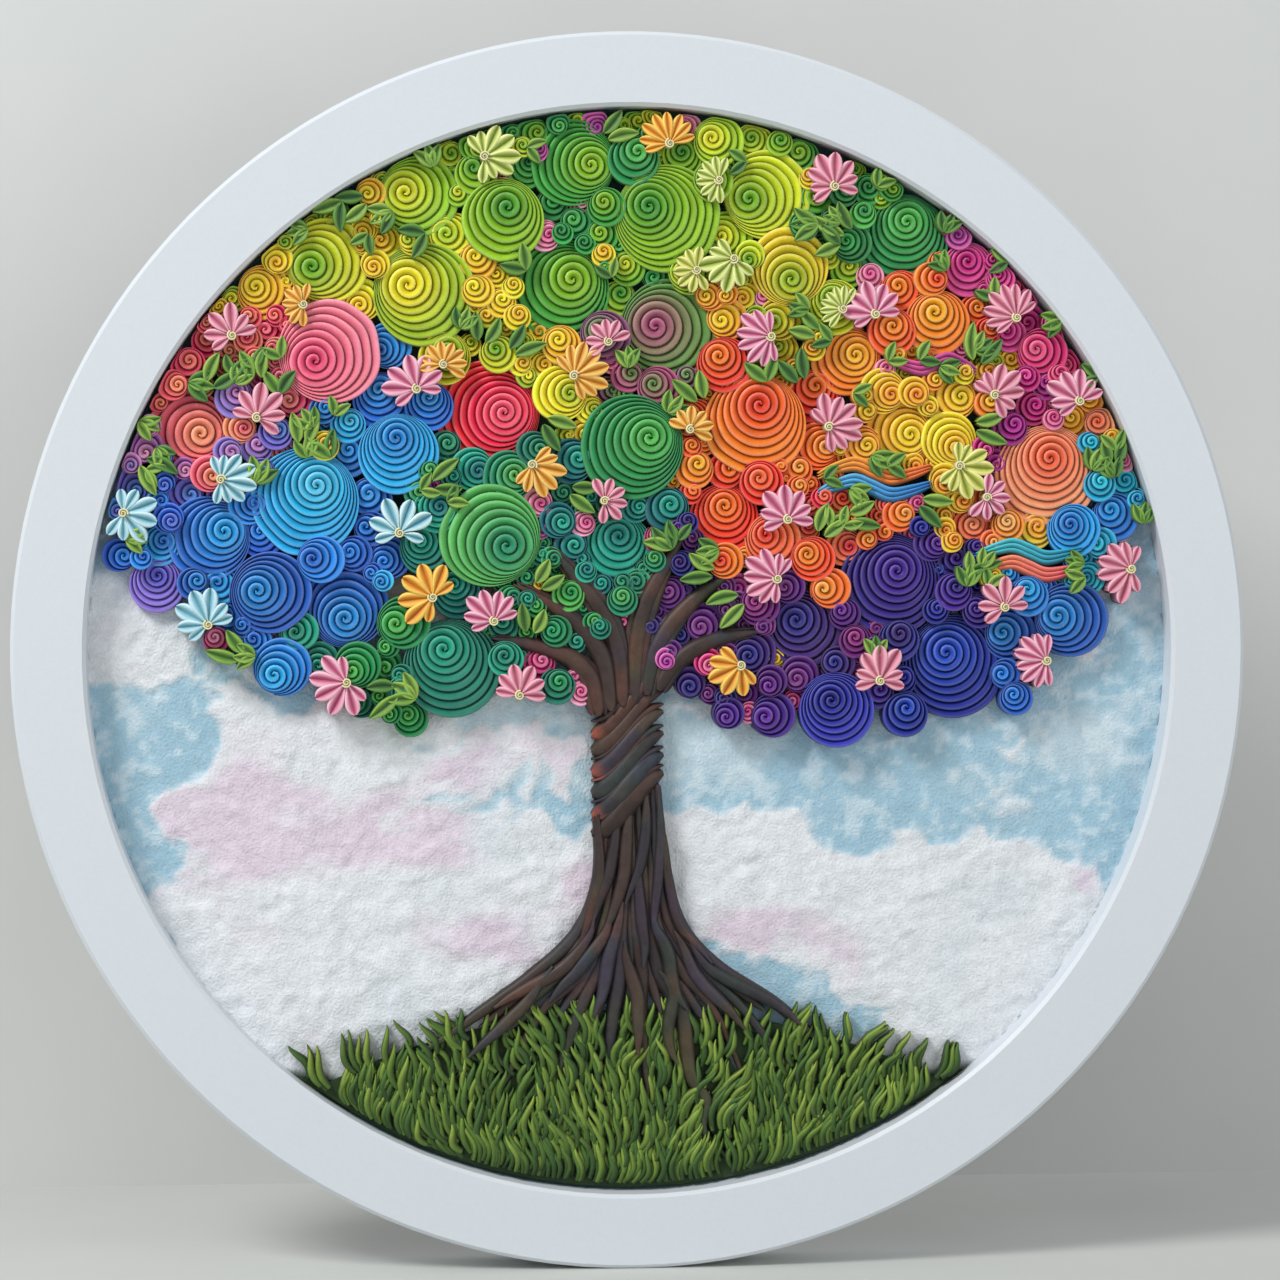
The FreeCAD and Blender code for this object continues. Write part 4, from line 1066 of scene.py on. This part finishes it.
def show_from_front(material):
    """Lets light through a wall, and shows it from its front only, so the object's back is seen."""
    tree = material.node_tree
    link = tree.links.new
    path = tree.nodes.new("ShaderNodeLightPath")
    side = tree.nodes.new("ShaderNodeNewGeometry")
    shown = tree.nodes.new("ShaderNodeMath")
    shown.operation = "GREATER_THAN"
    clear = tree.nodes.new("ShaderNodeBsdfTransparent")
    mix = tree.nodes.new("ShaderNodeMixShader")
    link(path.outputs["Is Camera Ray"], shown.inputs[0])
    link(side.outputs["Backfacing"], shown.inputs[1])
    link(shown.outputs[0], mix.inputs["Fac"])
    link(clear.outputs[0], mix.inputs[1])
    link(tree.nodes["Principled BSDF"].outputs[0], mix.inputs[2])
    link(mix.outputs[0], tree.nodes["Material Output"].inputs["Surface"])


def stage():
    """Pale floor, and a pale wall a little way behind the frame."""
    for name, colours, corners in (
        ("floor", ("cdcfca", "c8cac5"),
         [(-REACH, -REACH, FLOOR_Z), (REACH, -REACH, FLOOR_Z),
          (REACH, REACH, FLOOR_Z), (-REACH, REACH, FLOOR_Z)]),
        ("wall", ("dadcda", "d4d7d5"),
         [(-REACH, WALL_Y, FLOOR_Z), (REACH, WALL_Y, FLOOR_Z),
          (REACH, WALL_Y, WALL_TOP), (-REACH, WALL_Y, WALL_TOP)]),
    ):
        mesh = bpy.data.meshes.new(name)
        mesh.from_pydata(corners, [], [(0, 1, 2, 3)])
        mesh.materials.append(surface("pale_" + name, *colours, 12, (1, 1, 1), 0.6, 0.05))
        plane = bpy.data.objects.new(name, mesh)
        bpy.context.scene.collection.objects.link(plane)
    show_from_front(bpy.data.materials["pale_wall"])


def world():
    """Light from all round, with a brighter backdrop for what is seen directly or mirrored."""
    sky = bpy.data.worlds.new("studio")
    sky.use_nodes = True
    tree = sky.node_tree
    link = tree.links.new
    back = tree.nodes["Background"]
    back.inputs["Color"].default_value = (0.88, 0.9, 0.93, 1)
    back.inputs["Strength"].default_value = 0.44
    shown = tree.nodes.new("ShaderNodeBackground")
    shown.inputs["Color"].default_value = (0.80, 0.82, 0.83, 1)
    shown.inputs["Strength"].default_value = 1.0
    path = tree.nodes.new("ShaderNodeLightPath")
    seen = tree.nodes.new("ShaderNodeMath")
    seen.operation = "MAXIMUM"
    mix = tree.nodes.new("ShaderNodeMixShader")
    link(path.outputs["Is Camera Ray"], seen.inputs[0])
    link(path.outputs["Is Glossy Ray"], seen.inputs[1])
    through = tree.nodes.new("ShaderNodeMath")
    through.operation = "MAXIMUM"
    link(seen.outputs[0], through.inputs[0])
    link(path.outputs["Is Transmission Ray"], through.inputs[1])
    link(through.outputs[0], mix.inputs["Fac"])
    link(back.outputs[0], mix.inputs[1])
    link(shown.outputs[0], mix.inputs[2])
    link(mix.outputs[0], tree.nodes["World Output"].inputs["Surface"])
    bpy.context.scene.world = sky


def lamp(name, place, size, power):
    """Square lamp that faces the object."""
    light = bpy.data.lights.new(name, "AREA")
    light.size = size
    light.energy = power
    lit = bpy.data.objects.new(name, light)
    lit.location = place
    aim = Vector((0, 0, 0)) - Vector(place)
    lit.rotation_euler = aim.to_track_quat("-Z", "Y").to_euler()
    bpy.context.scene.collection.objects.link(lit)


def camera(azimuth, elevation, distance, span, shift):
    """Camera whose view is span metres wide at the object."""
    eye = bpy.data.cameras.new("camera")
    seen = bpy.data.objects.new("camera", eye)
    a, e = math.radians(azimuth), math.radians(elevation)
    level = distance * math.cos(e)
    seen.location = (level * math.sin(a), -level * math.cos(a), distance * math.sin(e))
    seen.rotation_euler = (-seen.location).to_track_quat("-Z", "Y").to_euler()
    eye.angle = 2 * math.atan(span / 2 / distance)
    eye.shift_x, eye.shift_y = shift
    bpy.context.scene.collection.objects.link(seen)
    bpy.context.scene.camera = seen


stage()
world()
lamp("key", (-1.2, -1.05, 1.5), 0.7, 33.5)
lamp("fill", (1.4, -1.6, 0.3), 1.4, 9.0)
camera(-4.5, 1.5, 1.26, 0.4221, (0.009, 0.008))
bpy.context.scene.view_settings.view_transform = "Standard"
